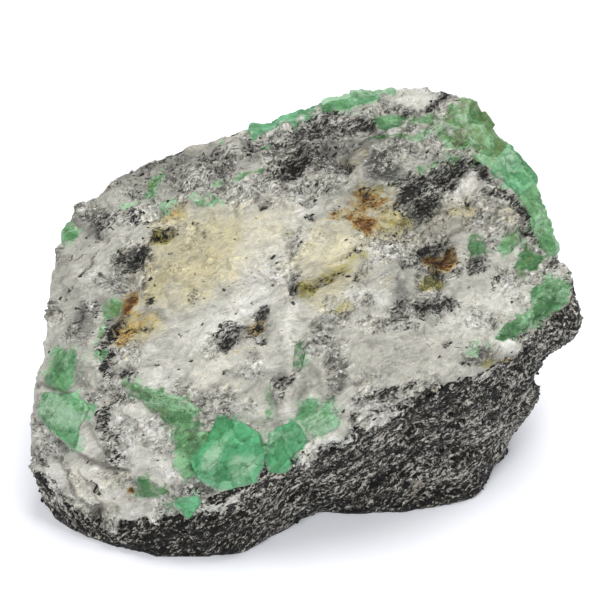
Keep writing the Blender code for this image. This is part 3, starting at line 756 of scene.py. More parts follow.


# Each crease runs through drawn points, then has its half width, its depth and how dark the shade painted
# into it is.
creases = {
    "underLeftUpper": (((-42.5, -13.2), (-40.6, -13.6), (-37.4, -14.8)), 0.5, 0.5, 0.9),
    "leftRim": (((-42.6, -14), (-41.6, -19), (-38.6, -22.4)), 0.5, 0.4, 0.6),
    "underLeftLower": (((-38.8, -21.6), (-37.2, -23.6), (-36, -24.6)), 0.6, 0.6, 0.8),
    "lumpParting": (((-36, -24.6), (-33, -26.4), (-31, -27.2), (-28, -27.6)), 0.7, 0.7, 0.8),
    "lumpPartingRight": (((-28, -27.6), (-26.6, -29.4), (-25.4, -31)), 0.5, 0.5, 0.4),
    "footRidge": (((-38.2, -25.6), (-37.4, -29), (-35.8, -32), (-32.2, -35)), 0.6, 0.7, 0.7),
    "footRidgeInner": (((-35.4, -27), (-34.2, -30), (-31.8, -32.6), (-28.6, -34)), 0.45, 0.5, 0.6),
    "lumpLeft": (((-35.4, -17.5), (-33.6, -21.5), (-31.4, -24.4)), 0.6, 0.5, 0.6),
    "lumpTop": (((-31.6, -14.6), (-28, -15.6), (-24.4, -18)), 0.6, 0.4, 0.3),
    "lumpFold": (((-28.6, -18), (-26.4, -20.6), (-25.8, -24.4)), 0.4, 0.35, 0.15),
    "lumpFoldRight": (((-24, -18.6), (-23, -22), (-21.6, -26)), 0.4, 0.35, 0.15),
    "underLump": (((-28, -27.8), (-25, -27.6), (-22, -28)), 0.5, 0.5, 0.3),
    "besideFront": (((-16.8, -19.6), (-17, -24), (-17.4, -27.4)), 0.4, 0.3, 0.5),
    # painted shade under the front crystal
    "shadeUnderFront": (((-17.6, -27.6), (-15.6, -29.6), (-12.8, -31)), 0.5, 0.4, 0.8),
    "frontToBlock": (((-6.2, -21), (-6.1, -25), (-5.6, -27.4)), 0.4, 0.4, 0.5),
    "shelfStep": (((1, -16.6), (1.2, -12), (0.2, -8), (-0.6, -4)), 0.5, 0.5, 0.2),
    "quartzLeft": (((8.8, 4.4), (9.2, 1), (8, -2.4), (4.4, -6)), 0.45, 0.35, 0.25),
    "quartzFoot": (((9.4, -0.4), (12.4, -1.6), (16, -2)), 0.4, 0.3, 0.3),
    "middleCrack": (((-1.2, 16), (-1.7, 12), (-2.2, 8), (-1.4, 4.6), (-0.8, 1)), 0.35, 0.35, 0.5),
    "middleCrackFoot": (((-0.8, 1), (0, -3), (-1.4, -7), (-0.8, -11)), 0.4, 0.4, 0.35),
    "paleStep": (((-14, -3), (-10, -1.4), (-6, -0.6), (-4, 0.8)), 0.35, 0.25, 0.2),
    "shelfTop": (((24, 3.4), (28, 3.6), (32, 5.4)), 0.4, 0.3, 0.2),
    "shelfFoot": (((19, -5.4), (23.4, -5.6), (26, -4.4)), 0.4, 0.3, 0.3),
    "farBand": (((-30, 17.4), (-22, 21), (-13, 24)), 0.4, 0.3, 0.35),
    "leftHollow": (((-34.6, 13), (-31.6, 9), (-30.4, 5)), 0.5, 0.4, 0.3),
}
creaseWander = (1.8, 0.5, (191, 194))  # spacing, reach, and seed for each way


def creased(points, seen):
    # depth of the creases at each point, and the shade painted into them
    spacing, reach, seeds = creaseWander
    wander = [reach * waves(points, spacing, seed, 2) for seed in seeds]
    place = drawn(points) + np.stack(wander, axis=1)
    depth = np.zeros(len(points))
    dark = np.zeros(len(points))
    for line, half, deep, darkness in creases.values():
        nearest = np.full(len(points), 99.0)
        for begin, end in itertools.pairwise(np.array(line)):
            step = end - begin
            away = place - begin
            share = np.clip(away @ step / (step @ step), 0, 1)
            nearest = np.minimum(nearest, np.linalg.norm(away - share[:, None] * step, axis=1))
        depth = np.maximum(depth, deep * (1 - smooth(0, half * 2.2, nearest)))
        dark = np.maximum(dark, darkness * (1 - smooth(0, half * 1.5, nearest)))
    return depth * seen, dark * seen


print("helpers ready")
skinTree = makeSkin()
print("skin of the whole stone ready")


vein = {
    "voxel": 0.32,
    "rounds": 4,
    "facets": ((3.1, 0.34, 201), (1.3, 0.3, 211)),  # crumb size, tilt and seed
    "granular": (4.6, 251),  # spacing and seed of the granular and the smooth patches
    "terrace": (4.6, 0.55, 221),  # spacing, height and seed of the steps along the fabric
    "grain": (0.75, 0.1, 231),
    "lift": 0.16,  # keeps the rock level with the crystals set in it
    "fabricTurn": 30,  # degrees that the fabric rises to the right
    "micaRim": (0.2, 1.6, 0.75),  # heights over the contact where dark mica thins out, and its strength
    "greenReach": 4.5,  # how far from a crystal the rock may turn green
    # for a green mark's strengths: how far inside a crystal they put the rock
    "greenFray": ((0, 0.25, 0.6), (-3.4, -0.9, 0.5)),
    # seed and share of each kind of patch on the sides that the marks don't reach
    "hiddenShares": {"mica": (301, 0.3), "grey": (303, 0.5), "cream": (305, 0.36), "white": (307, 0.4),
                     "green": (309, 0.1), "rust": (311, 0.12), "olive": (313, 0.14), "shade": (315, 0.4)},
}
halfGap = 0.15  # half of the gap between pieces that touch
edgeBlend = (0.2, 1.3)  # distances from an edge over which a surface takes on its own relief


def edgeLift(points):
    # what rock and crystals share where they meet
    return vein["lift"] + 0.05 * waves(points, 1.1, 241, 2)


def granularOf(points, values):
    # 1 where the rock is granular and 0 where it broke smooth
    spacing, seed = vein["granular"]
    plain = smooth(-0.35, 0.35, waves(points, spacing, seed, 2))
    plain = plain * (1 - 0.9 * values["grey"]) * (1 - 0.6 * values["cream"]) * (1 - 0.5 * values["white"])
    return np.clip(plain + 0.7 * values["mica"] + 0.6 * values["shade"], 0, 1)


def makeVein():
    shape = fineCopy("quartz_vein", "vein_surface", vein["voxel"], vein["rounds"])
    start = pointsOf(shape.data)
    seen = smooth(*facing, towardsEye(shape.data))
    values = surfaceValues(veinMarks, vein["hiddenShares"], start, seen)
    low, high, strength = vein["micaRim"]
    rim = 1 - smooth(low, high, layerHeight(start) + 0.8 * waves(start, 2.6, 321, 2))
    values["mica"] = np.maximum(values["mica"], strength * rim)

    # how far inside a crystal a point is, with the crystal's own look, which fades out in the rock
    near = findNearest(crystalTree, start, vein["greenReach"])
    gap = near["gap"]
    marked = np.interp(values.pop("green"), *vein["greenFray"])
    values["crystal"] = np.maximum(halfGap - gap, marked)
    values["granular"] = granularOf(start, values)
    owner = np.array(crystalOwners)[near["face"]]
    looks = np.array([crystals[node][1:6] for node in crystals])[owner]
    share = (1 - smooth(1.4, vein["greenReach"], gap)) * (near["face"] >= 0)
    for column, (kind, plain) in enumerate(crystalLook.items()):
        values[kind] = plain + (looks[:, column] - plain) * share

    # relief: crumbs, steps along the fabric, fine grain, broken edges and creases
    lift = facetLift(start, vein["facets"])
    axes = turnedAxes(vein["fabricTurn"])
    spacing, high, seed = vein["terrace"]
    across = start @ axes[1] + 1.6 * waves(start, 6, seed, 2)
    stepped = smooth(-0.2, 0.5, waves(start, 9, seed + 4))
    lift += high * (np.mod(across / spacing, 1) ** 2 - 0.4) * stepped
    size, high, seed = vein["grain"]
    lift += high * waves(start, size, seed, 2)
    lift *= 0.35 + 0.75 * values["granular"]
    lift += -0.14 * values["mica"] + 0.3 * values["white"] * smooth(0.6, 1, values["white"])
    lift += painted(raised, start, seen, raisedEdge)
    # the creases' depth, and the shade painted into them for the material
    depth, values["crease"] = creased(start, seen)
    lift = edgeLift(start) + (lift - depth) * smooth(*edgeBlend, gap)
    values["fabric"] = start @ axes.T
    finishSurface(shape, uneven(start) + closed(near), lift, values)
    return shape


schist = {
    "voxel": 0.35,
    "rounds": 3,
    "ledges": ((3.1, 0.4, 401), (1.2, 0.26, 407)),  # layer thickness, how far it stands out, seed
    "grain": ((2.4, 0.34, 411), (1.1, 0.26, 415), (0.65, 0.14, 419)),
    "flat": 0.36,  # thickness of a grain as a share of its length
    "wobble": (10, 0.3, 421),  # spacing, height and seed of the layers' waves
    "lean": (6, 0.25),  # how far across the layers begin to rise more than the contact, and by how much
    # painted shade along the foot, darker towards the floor
    "footShade": (0.5, 4.5, 0.9),  # heights where the dark of its foot fades out, and its strength
    "soleFade": (0.1, 1.4),  # heights where its relief fades in, and the same below the contact
    "contactFade": (0.2, 1.4),
    # seed and share of each kind of patch, as the vein's
    "hiddenShares": {"pale": (501, 0.25), "tan": (503, 0.2), "dark": (505, 0.3)},
}
schistMarks = {
    "quartz": {
        "leftCorner": (-39.8, -29, 4.4, 1.0, -62, 0.9),
        "leftFoot": (-35.6, -33.4, 2.6, 0.7, -38, 0.9),
        "spill": (12.6, -18.8, 3.8, 1.1, 16, 1),
        "byWedge": (-14.6, -33.4, 4, 1.1, 8, 0.8),
        "byWedgeRight": (-10.4, -31.8, 1.8, 0.8, 20, 0.8),
        "chip": (-1, -25.8, 2, 1, 20, 0.9),
        "lump": (6.6, -22.4, 3, 0.9, 20, 0.8),
    },
    "pale": {
        "besideTan": (9.4, -30, 3.4, 1.2, 40, 0.7),
        "middleStreak": (15.4, -28.4, 4.4, 1.2, 35, 0.8),
        "middleStreakRight": (18.6, -28.6, 1.2, 2.4, -30, 0.6),
        "rightStreak": (32, -21, 1.6, 1.4, 0, 0.8),
        "rightFace": (29, -20, 2.4, 1.5, 20, 0.8),
        "byWedge": (-14, -33, 4.6, 1.5, 8, 0.9),
        "spill": (12.4, -19.4, 2.8, 1.3, 20, 1),
        "underContact": (2, -26, 3, 1.2, 25, 0.5),
        "rightEdge": (34, -14, 2.4, 2.6, 60, 0.5),
        "lens": (29.7, -12.4, 1.6, 0.7, 30, 0.9),
        "edgeStrip": (40.6, 3.6, 0.9, 3.2, 35, 0.9),
    },
    "tan": {
        "foot": (9.4, -31.8, 1.8, 1, 60, 0.9),
        "middle": (18.4, -29.6, 1.6, 1.6, 30, 0.7),
        "rightFace": (26, -25.8, 1.6, 1.4, 20, 0.6),
        "yellow": (18.4, -18.6, 2, 1, 30, 0.5),
        "low": (21, -33, 1.2, 0.8, 20, 0.5),
    },
    "dark": {
        "contact": (17, -16, 7, 0.9, 17, 1.3),
        "middle": (14.6, -28.4, 3.4, 2.6, 40, 0.6),
        "right": (22, -22.6, 4, 2, 30, 0.5),
        "rightFoot": (30, -27.6, 2, 3, -50, 0.6),
        "foot": (6, -36, 8, 1.2, 8, 0.6),
        "footMiddle": (2, -33.6, 5, 1.6, 8, 0.7),
        "leftFoot": (-20, -35.6, 18, 4, -2, 0.75),
        "farLeft": (-38, -31, 3, 5, 20, 0.7),
    },
}


# Where its outline stands out or draws back: across, up, half length, half width, turn and height.
schistOutline = {
    "underLedge": (39.6, -10.6, 3, 1.6, 45, -1.5),
    "rightFace": (37, -17.2, 5, 2, 72, 1.1),
}


def makeSchist():
    shape = fineCopy("schist_base", "schist_surface", schist["voxel"], schist["rounds"])
    start = pointsOf(shape.data)
    turned = towardsEye(shape.data)
    values = surfaceValues(schistMarks, schist["hiddenShares"], start, smooth(*facing, turned))
    # painted shade: darker towards the floor
    low, high, strength = schist["footShade"]
    values["dark"] = np.maximum(values["dark"], strength * (1 - smooth(low, high, start[:, 2])))

    # the layers wave, and rise more than the contact on the right
    spacing, high, seed = schist["wobble"]
    leanFrom, lean = schist["lean"]
    over = layerHeight(start)
    height = over + high * waves(start, spacing, seed, 2) - lean * np.maximum(start[:, 0] - leanFrom, 0)
    values["layered"] = np.stack((start[:, 0], start[:, 1], height), axis=1)
    sideways = smooth(0.2, 0.9, np.linalg.norm(normalsOf(shape.data)[:, :2], axis=1))
    lift = summedWaves(values["layered"] / np.array((1, 1, schist["flat"])), schist["grain"])
    for thickness, out, seed in schist["ledges"]:
        layer = np.floor(height / thickness)
        own = scattered(np.stack((layer, layer, layer), axis=1), seed)
        step = np.mod(height / thickness, 1)
        local = waves(start, 8, seed + 1, 2)
        lift += out * sideways * (own - 0.5 + 0.35 * (step - 0.5)) * (1 + local) * 0.9
    lift += painted(schistOutline, start, smooth(-0.8, -0.3, turned))
    lift *= smooth(*schist["soleFade"], start[:, 2]) * smooth(*schist["contactFade"], -over)
    finishSurface(shape, uneven(start), lift + edgeLift(start), values)
    return shape


emerald = {
    "rounds": 2,
    "relief": ((2.2, 0.1, 601), (0.8, 0.07, 605)),
    "facets": ((3.0, 0.2, 611), (1.2, 0.14, 617)),
    "solid": 0.9,  # how much surer green its middle is, but for the crystals that fray
    "reach": 6,
    "frayed": ("emerald_front_flank", "emerald_front_band", "emerald_mottled", "emerald_edge_upper",
               "emerald_sliver", "emerald_dot_left", "emerald_crest_left", "emerald_front_sprig"),
}
# For each crystal: voxel size, how deep, pale, teal, mossy and mottled it is, and the turn of its lines.
crystals = {
    "emerald_front": (0.24, 0.25, 0.28, 0.9, 0, 0.04, 24),
    "emerald_front_right": (0.22, 0.6, 0.3, 0.9, 0.1, 0.12, 60),
    "emerald_front_flank": (0.22, 0.55, 0.15, 0.2, 0.15, 0.5, 30),
    "emerald_front_band": (0.22, 0.55, 0.22, 0, 0.25, 0.5, -20),
    "emerald_front_wedge": (0.2, 0.4, 0.3, 0.7, 0, 0.1, 40),
    "emerald_front_sprig": (0.2, 0.9, 0.1, 0, 0.4, 0.4, 0),
    "emerald_mottled": (0.22, 0.35, 0.6, 0.5, 0.1, 0.35, 30),
    "emerald_sliver": (0.18, 0.75, 0.2, 0, 0.3, 0.2, 80),
    "emerald_left_upper": (0.24, 0.45, 0.35, 0.3, 0.1, 0.08, 50),
    "emerald_left_lower": (0.24, 0.35, 0.4, 0.5, 0.1, 0.06, 60),
    "emerald_left_notch": (0.2, 0.5, 0.35, 0, 0.3, 0.2, 30),
    "emerald_bar": (0.24, 0.5, 0.3, 0.1, 0.2, 0.15, 33),
    "emerald_dot_left": (0.18, 1.0, 0.1, 0, 0.4, 0.5, 20),
    "emerald_dot_middle": (0.18, 0.45, 0.4, 0, 0.3, 0.2, 20),
    "emerald_dot_right": (0.2, 0.6, 0.25, 0, 0.4, 0.3, 30),
    "emerald_edge_upper": (0.26, 0.45, 0.35, 0.1, 0.6, 0.25, -50),
    "emerald_edge_middle": (0.26, 0.4, 0.35, 0.6, 0.05, 0.03, -58),
    "emerald_edge_lower": (0.26, 0.4, 0.4, 0.2, 0.3, 0.1, -66),
    "emerald_crest_left": (0.22, 0.75, 0.3, 0.8, 0.1, 0.2, 24),
    "emerald_crest_right": (0.22, 0.35, 0.55, 0.5, 0.1, 0.1, 14),
    "emerald_crest_dot": (0.2, 0.9, 0.1, 0, 0.3, 0.3, 20),
}
# The same away from every crystal.
crystalLook = {"deep": 0.4, "pale": 0.62, "teal": 0.05, "moss": 0.45, "mottle": 0.35}
crystalTree, crystalOwners = surfaceTree([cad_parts[node].data for node in crystals])
rockTree, _ = surfaceTree([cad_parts[node].data for node in ("quartz_vein", "schist_base")])
emeraldMarks = {
    "deep": {
        "frontFoot": (-14.4, -28, 2.2, 2.2, 0, 0.9),
        "frontEdge": (-7, -24, 1.2, 2, 20, 0.5),
        "rightBlock": (-1, -22, 2, 2, 0, 0.8),
        "leftRim": (-40.6, -17.6, 0.9, 3.4, 15, 1.0),
        "leftHead": (-39.4, -9.4, 1.4, 1.6, 20, 0.6),
        "leftTip": (-36.6, -22.6, 1.2, 1.2, 0, 0.9),
        "edgeMiddle": (34.8, 21.5, 2.6, 2, -50, 0.7),
        "wedgeTop": (-19, -32, 1.2, 0.6, 0, 0.8),
        "barTop": (40, -1, 3, 0.6, 33, 0.6),
        "barLeft": (34, -4.6, 3.6, 1.2, 33, 0.4),
        "frontLeft": (-17, -24, 1, 3, 10, 0.6),
    },
    "pale": {
        "frontRight": (-9.4, -27.2, 3, 1.8, 25, 1.0),
        "frontVeil": (-13.4, -24.4, 3.6, 0.9, 45, 0.9),
        "blockPale": (-4.6, -23, 2.2, 1.5, 40, 0.5),
        "leftLower": (-38, -18, 2, 2.6, 60, 0.9),
        "mottled": (2.4, -19.4, 2, 1.4, 30, 0.6),
        "crestRight": (11, 33.6, 3, 1.2, 14, 0.5),
        "edgeVeil": (33, 22.5, 1, 2.4, -30, 0.5),
        "barFoot": (38, -3.6, 4, 0.7, 33, 0.7),
    },
    "mottle": {
        "leftParting": (-39.6, -13.4, 3, 0.35, 27, 0.8),
        "flankBrown": (-14.6, -18.4, 1.5, 1.6, 0, 0.6),
        "bandSpecks": (-24, -15.6, 3, 0.8, -20, 0.4),
        "sprigTip": (-25.8, -30, 0.8, 0.8, 0, 0.6),
        "edgeBrown": (26.4, 26, 0.9, 1.2, 30, 0.6),
        "barFoot": (36, -6.4, 4, 0.4, 33, 0.5),
    },
}


def makeEmerald(node):
    voxel, deep, pale, teal, moss, mottle, turn = crystals[node]
    shape = fineCopy(node, node.replace("emerald", "crystal"), voxel, emerald["rounds"])
    start = pointsOf(shape.data)
    seen = smooth(*facing, towardsEye(shape.data))
    values = {"moss": np.full(len(start), float(moss)), "teal": np.full(len(start), float(teal))}
    for kind, plain in (("deep", deep), ("pale", pale), ("mottle", mottle)):
        values[kind] = np.clip(plain + 0.6 * painted(emeraldMarks[kind], start, seen), 0, 1)
    gap = findNearest(rockTree, start, emerald["reach"])["gap"]
    solid = 0 if node in emerald["frayed"] else emerald["solid"]
    values["crystal"] = gap - halfGap + solid * smooth(0.1, 1.2, gap)
    values["granular"] = np.full(len(start), 0.6)
    values["fabric"] = start @ turnedAxes(turn).T
    others, _ = surfaceTree([other.data for name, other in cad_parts.items() if name != node])
    near = findNearest(others, start, emerald["reach"])
    lift = summedWaves(start, emerald["relief"]) + facetLift(start, emerald["facets"])
    lift = edgeLift(start) + lift * smooth(*edgeBlend, near["gap"])
    finishSurface(shape, uneven(start) + closed(near), lift, values)
    return shape


class Wire:
    # one socket of a material's nodes, which Python's own operators work on

    def __init__(self, tree, socket=None):
        self.tree = tree
        self.socket = socket

    def node(self, kind, settings=None, inputs=None, output=0):
        # adds a node: its settings first, then the values or wires of its sockets
        made = self.tree.nodes.new(kind)
        for name, value in (settings or {}).items():
            if name == "stops":
                self.setStops(made.color_ramp, value)
            else:
                setattr(made, name, value)
        for name, value in (inputs or {}).items():
            if isinstance(value, Wire):
                self.tree.links.new(value.socket, made.inputs[name])
            else:
                made.inputs[name].default_value = value
        return Wire(self.tree, made.outputs[output])

    def setStops(self, ramp, stops):
        while len(ramp.elements) < len(stops):
            ramp.elements.new(1)
        for element, (place, colour) in zip(ramp.elements, stops):
            element.position = place
            element.color = (*colour, 1)

    def number(self, operation, *values):
        return self.node("ShaderNodeMath", {"operation": operation}, dict(enumerate(values)))

    def vector(self, operation, inputs):
        return self.node("ShaderNodeVectorMath", {"operation": operation}, inputs)

    def join(self, operation, first, second):
        # one operation on two wires or numbers
        if all(value.socket.type == "VALUE" for value in (first, second) if isinstance(value, Wire)):
            return self.number(operation, first, second)
        plain = [value if isinstance(value, Wire) or hasattr(value, "__len__") else (value,) * 3
                 for value in (first, second)]
        return self.vector(operation, dict(enumerate(plain)))

    def __add__(self, other):
        return self.join("ADD", self, other)

    def __radd__(self, other):
        return self.join("ADD", other, self)

    def __sub__(self, other):
        return self.join("SUBTRACT", self, other)

    def __rsub__(self, other):
        return self.join("SUBTRACT", other, self)

    def __mul__(self, other):
        return self.join("MULTIPLY", self, other)

    def __abs__(self):
        return self.number("ABSOLUTE", self)

    def wrapped(self):
        # climbs from 0 to 1 and drops back, over and over
        return self.number("FRACT", self)

    def step(self, low, high):
        # 0 below low, 1 above high, and a soft rise between them
        return self.node("ShaderNodeMapRange", {"interpolation_type": "SMOOTHSTEP"},
                         {"Value": self, "From Min": low, "From Max": high})

    def toned(self, stops):
        # the colour that a value picks from a row of stops
        return self.node("ShaderNodeValToRGB", {"stops": stops}, {"Fac": self})

    def painted(self, colour, share, blend="MIX"):
        # this colour with another laid over it, or multiplied into it, by a share
        if not isinstance(colour, Wire):
            colour = (*colour, 1)
        return self.node("ShaderNodeMix", {"data_type": "RGBA", "blend_type": blend},
                         {0: share, 6: self, 7: colour}, 2)

    def scaled(self, factor):
        return self.vector("SCALE", {0: self, "Scale": factor})

    def stretched(self, lengths):
        return self.vector("DIVIDE", {0: self, 1: lengths})

    def noise(self, size, detail=3, rough=0.55, wobble=0):
        # cloudy noise about zero whose lumps are size apart
        return self.node("ShaderNodeTexNoise", {},
                         {"Vector": self, "Scale": 1 / size, "Detail": detail, "Roughness": rough,
                          "Distortion": wobble}) - 0.5

    def wandering(self, size, reach):
        # coordinates that wander to and fro, so that what is drawn on them has crooked edges
        push = self.node("ShaderNodeTexNoise", {},
                         {"Vector": self, "Scale": 1 / size, "Detail": 2}, "Color")
        return self + (push - 0.5).scaled(reach)

    def cells(self, size, feature="F1", output="Distance"):
        # grains of a size: distance from each one's middle
        return self.node("ShaderNodeTexVoronoi", {"feature": feature},
                         {"Vector": self, "Scale": 1 / size}, output)

    def cellColour(self, size):
        return self.cells(size, output="Color")

    def cellValue(self, size, channel=0):
        # a random value from 0 to 1 for each grain
        return self.node("ShaderNodeSeparateColor", {}, {"Color": self.cellColour(size)}, channel)

    def seams(self, size):
        # distance from the seams between grains
        return self.cells(size, "DISTANCE_TO_EDGE")

    def attribute(self, name, output="Fac"):
        return self.node("ShaderNodeAttribute", {"attribute_name": name}, {}, output)

    def bumped(self, strength, depth, height, normal=None):
        inputs = {"Strength": strength, "Distance": depth * mm, "Height": height}
        if normal:
            inputs["Normal"] = normal
        return self.node("ShaderNodeBump", {}, inputs)


def newMaterial(name):
    material = bpy.data.materials.new(name)
    material.use_nodes = True
    wires = Wire(material.node_tree)
    place = wires.node("ShaderNodeTexCoord", {}, {}, "Object").scaled(1 / mm)
    return material, wires, place


def finishMaterial(material, colour, roughness, normal, settings):
    shader = material.node_tree.nodes["Principled BSDF"]
    for name, wire in (("Base Color", colour), ("Roughness", roughness), ("Normal", normal)):
        material.node_tree.links.new(wire.socket, shader.inputs[name])
    for name, value in settings.items():
        shader.inputs[name].default_value = value
    return material


def glinting(wires, place, grains):
    # tilts the surface by a random amount on each grain, for each size of grain and reach of tilt
    leaned = wires.node("ShaderNodeNewGeometry", {}, {}, "Normal")
    for size, reach in grains:
        leaned = leaned + (place.cellColour(size) - 0.5).scaled(reach)
    return leaned.vector("NORMALIZE", {0: leaned})


rockFinish = {
    # from the darkest grain to the whitest
    "tones": ((0.0, (0.07, 0.068, 0.060)), (0.25, (0.24, 0.235, 0.21)), (0.5, (0.47, 0.462, 0.405)),
              (0.74, (0.67, 0.66, 0.60)), (1.0, (0.97, 0.96, 0.91))),
    "white": (0.90, 0.89, 0.87),
    "cream": (1.0, 0.925, 0.66),  # the stains multiply the rock's own tones
    "olive": (0.62, 0.58, 0.24),
    "ochre": (0.93, 0.78, 0.42),
    "rust": (0.70, 0.35, 0.10),
    "rustDark": (0.055, 0.025, 0.012),
    "smoky": (0.40, 0.40, 0.395),
    # painted shade in the creases, also the colour of the dark hair cracks
    "crease": (0.16, 0.15, 0.13),
    "mica": (0.008, 0.0076, 0.007),
}
emeraldFinish = {
    "tones": ((0.0, (0.06, 0.22, 0.065)), (0.5, (0.135, 0.365, 0.14)), (1.0, (0.25, 0.52, 0.26))),
    "teal": (0.065, 0.49, 0.215),
    "deep": (0.03, 0.14, 0.035),
    "pale": (0.46, 0.64, 0.45),
    "moss": (0.15, 0.22, 0.055),
    "brown": (0.05, 0.045, 0.022),
    "fleck": (0.72, 0.84, 0.74),
}
stoneShine = {
    "rock": {"Subsurface Weight": 0.08, "Subsurface Scale": 0.0009, "Specular IOR Level": 0.25},
    "crystal": {"Subsurface Weight": 0.25, "Subsurface Scale": 0.0012, "Subsurface Radius": (0.5, 1.0, 0.6),
                "IOR": 1.57, "Coat Weight": 0.1, "Coat Roughness": 0.2},
}


stoneGrain = {
    # sizes of the clouds, grains, specks and lines that its colours are made of
    "cloud": 3.2,
    "spread": 2.4,
    "loose": 1.9,
    "patch": 1.5,
    "fine": 0.42,
    "block": 3,
    "plate": 1.15,
    "grain": 0.4,
    "speck": 0.8,
    "wisp": 0.93,
    "hair": 1.6,
    "ledge": 2.6,
}


def stoneMaterial(name, shine):
    # quartz rock, with emerald wherever the crystal value says so, the same on both sides of an edge
    material, wires, place = newMaterial(name)
    rock = rockFinish
    gem = emeraldFinish
    size = stoneGrain
    fabric = wires.attribute("fabric", "Vector")
    drawnOut = fabric.stretched((2.3, 0.9, 1.2))
    crooked = fabric.wandering(0.9, 1.3).stretched((1.5, 0.9, 1.1))
    cloud = place.noise(size["cloud"], 4, 0.6)
    patch = drawnOut.noise(size["patch"], 4, 0.65, 0.8)
    granular = (wires.attribute("granular") + patch * 0.8 + cloud * 0.6).step(0.1, 0.8)
    fine = crooked.noise(size["fine"], 5, 0.75)
    plate = crooked.cellValue(size["plate"]) - 0.5
    block = crooked.cellValue(size["block"]) - 0.5
    grain = crooked.cellValue(size["grain"], 1) - 0.5
    seam = crooked.seams(size["plate"]).step(0.09, 0.0)
    wisp = (1 - abs(drawnOut.noise(size["wisp"], 3, 0.6, 1.0)) * 22).step(0.2, 1)
    hair = (1 - abs(drawnOut.noise(size["hair"], 3, 0.65, 1.0)) * 34).step(0.3, 1)
    flakes = fabric.stretched((2.1, 0.8, 1.0)).noise(size["fine"], 3, 0.75)
    loose = drawnOut.noise(size["loose"], 3, 0.6, 0.5)
    ledge = (drawnOut.noise(size["ledge"], 3, 0.6, 0.8) * 9).wrapped() - 0.5

    # rock: its grains' tones with painted light and shade across the steps, then the stains, the painted
    # shade in the creases and the dark hair cracks
    grey = (wires.attribute("grey") + plate * 0.4 + patch * 0.5).step(0.35, 0.65)
    white = wires.attribute("white")
    shade = (wires.attribute("shade") + patch * 0.9 + fine * 0.6).step(0.1, 1.0)
    tone = (grain * 0.35 + fine * 1.7 + plate * 0.35 + patch * 0.5) * granular + fine * 0.5 + patch * 0.4
    # the ledge term paints each step's light and shade into the tone, as well as into the bump
    tone = tone + cloud * 0.4 + ledge * 0.14 + 0.53 - seam * granular * 0.26
    tone = tone + (0.42 + plate * 0.16 + fine * 0.4 - tone) * grey * 0.8 + white * 0.26 - shade * 0.4
    colour = tone.toned(rock["tones"])
    colour = colour.painted(rock["white"], wisp * (patch + white * 0.3).step(-0.05, 0.2) * 0.6)
    cream = (wires.attribute("cream") + cloud * 1.2 + patch * 0.8 + fine * 0.6).step(0.1, 1.15)
    colour = colour.painted(rock["cream"], cream, "MULTIPLY")
    olive = (wires.attribute("olive") + patch * 1.8 + fine * 1.6).step(0.3, 1.1)
    colour = colour.painted(rock["olive"], olive, "MULTIPLY")
    rust = wires.attribute("rust") + (patch + fine) * 1.6 - 0.1
    colour = colour.painted(rock["ochre"], rust.step(0.1, 0.6), "MULTIPLY")
    colour = colour.painted(rock["rust"], rust.step(0.4, 1.0), "MULTIPLY")
    colour = colour.painted(rock["rustDark"], (rust + flakes * 2.6).step(0.7, 1.0) * 0.9)
    # painted shade darkening the rock in the creases
    colour = colour.painted(rock["crease"], (wires.attribute("crease") + fine * 0.9).step(0.15, 0.9) * 0.8)
    colour = colour.painted(rock["crease"], hair * (cloud - patch).step(0.0, 0.2) * 0.65)

    # emerald: green body, teal where it is clear, darker and mossier clouds, pale veils, white lines
    deep = (wires.attribute("deep") + cloud * 1.8 + patch * 1.3).step(0.3, 1.0)
    veiled = 1 - wires.attribute("teal") * 0.75  # the clear crystals are calmer inside
    teal = (wires.attribute("teal") + patch * 1.2).step(0.2, 0.9)
    moss = (wires.attribute("moss") + cloud * 1.6 - patch * 1.2).step(0.3, 0.9)
    pale = (wires.attribute("pale") + (patch * 2.4 + fine * 2.2) * veiled + block * 0.5).step(0.3, 1.0)
    green = ((fine * 1.8 + plate * 0.8) * veiled + block * 1.2 + 0.5).toned(gem["tones"])
    green = green.painted(gem["teal"], teal * (0.65 + block * 0.6 + fine))
    green = green.painted(gem["deep"], deep * (1 - teal * 0.4) * 0.85)
    green = green.painted(gem["moss"], moss * 0.85)
    green = green.painted(gem["pale"], pale * 0.68)
    green = green.painted(gem["deep"], crooked.seams(size["block"]).step(0.05, 0.0) * 0.5)
    green = green.painted(gem["fleck"], wisp * (fine + pale * 0.2).step(0.05, 0.3) * 0.4)
    brown = (wires.attribute("mottle") + flakes * 2.6 + loose).step(0.72, 1.0)
    green = green.painted(gem["brown"], brown * 0.85)
    spread = place.noise(size["spread"], 3, 0.6)
    greenShare = (wires.attribute("crystal") + spread * 6 + patch * 4.6 + fine * 3.4).step(-0.7, 0.9)
    colour = colour.painted(green, greenShare)

    # black mica: thick in the marks, loose flecks round them, with a smoky halo
    drive = wires.attribute("mica") * 0.66 + loose * 1.0 + shade * 0.12 - greenShare * 0.25
    colour = colour.painted(rock["smoky"], (drive + flakes * 1.4).step(0.15, 0.75) * 0.75, "MULTIPLY")
    mica = (drive + flakes * 3 + patch * 0.6).step(0.5, 0.68)
    own = crooked.cellValue(size["speck"], 2)
    speck = crooked.cells(size["speck"]).step(0.36, 0.24) * (own + drive * 0.6).step(0.96, 1.0)
    mica = mica + (1 - mica) * speck
    colour = colour.painted(rock["mica"], mica * 0.95)

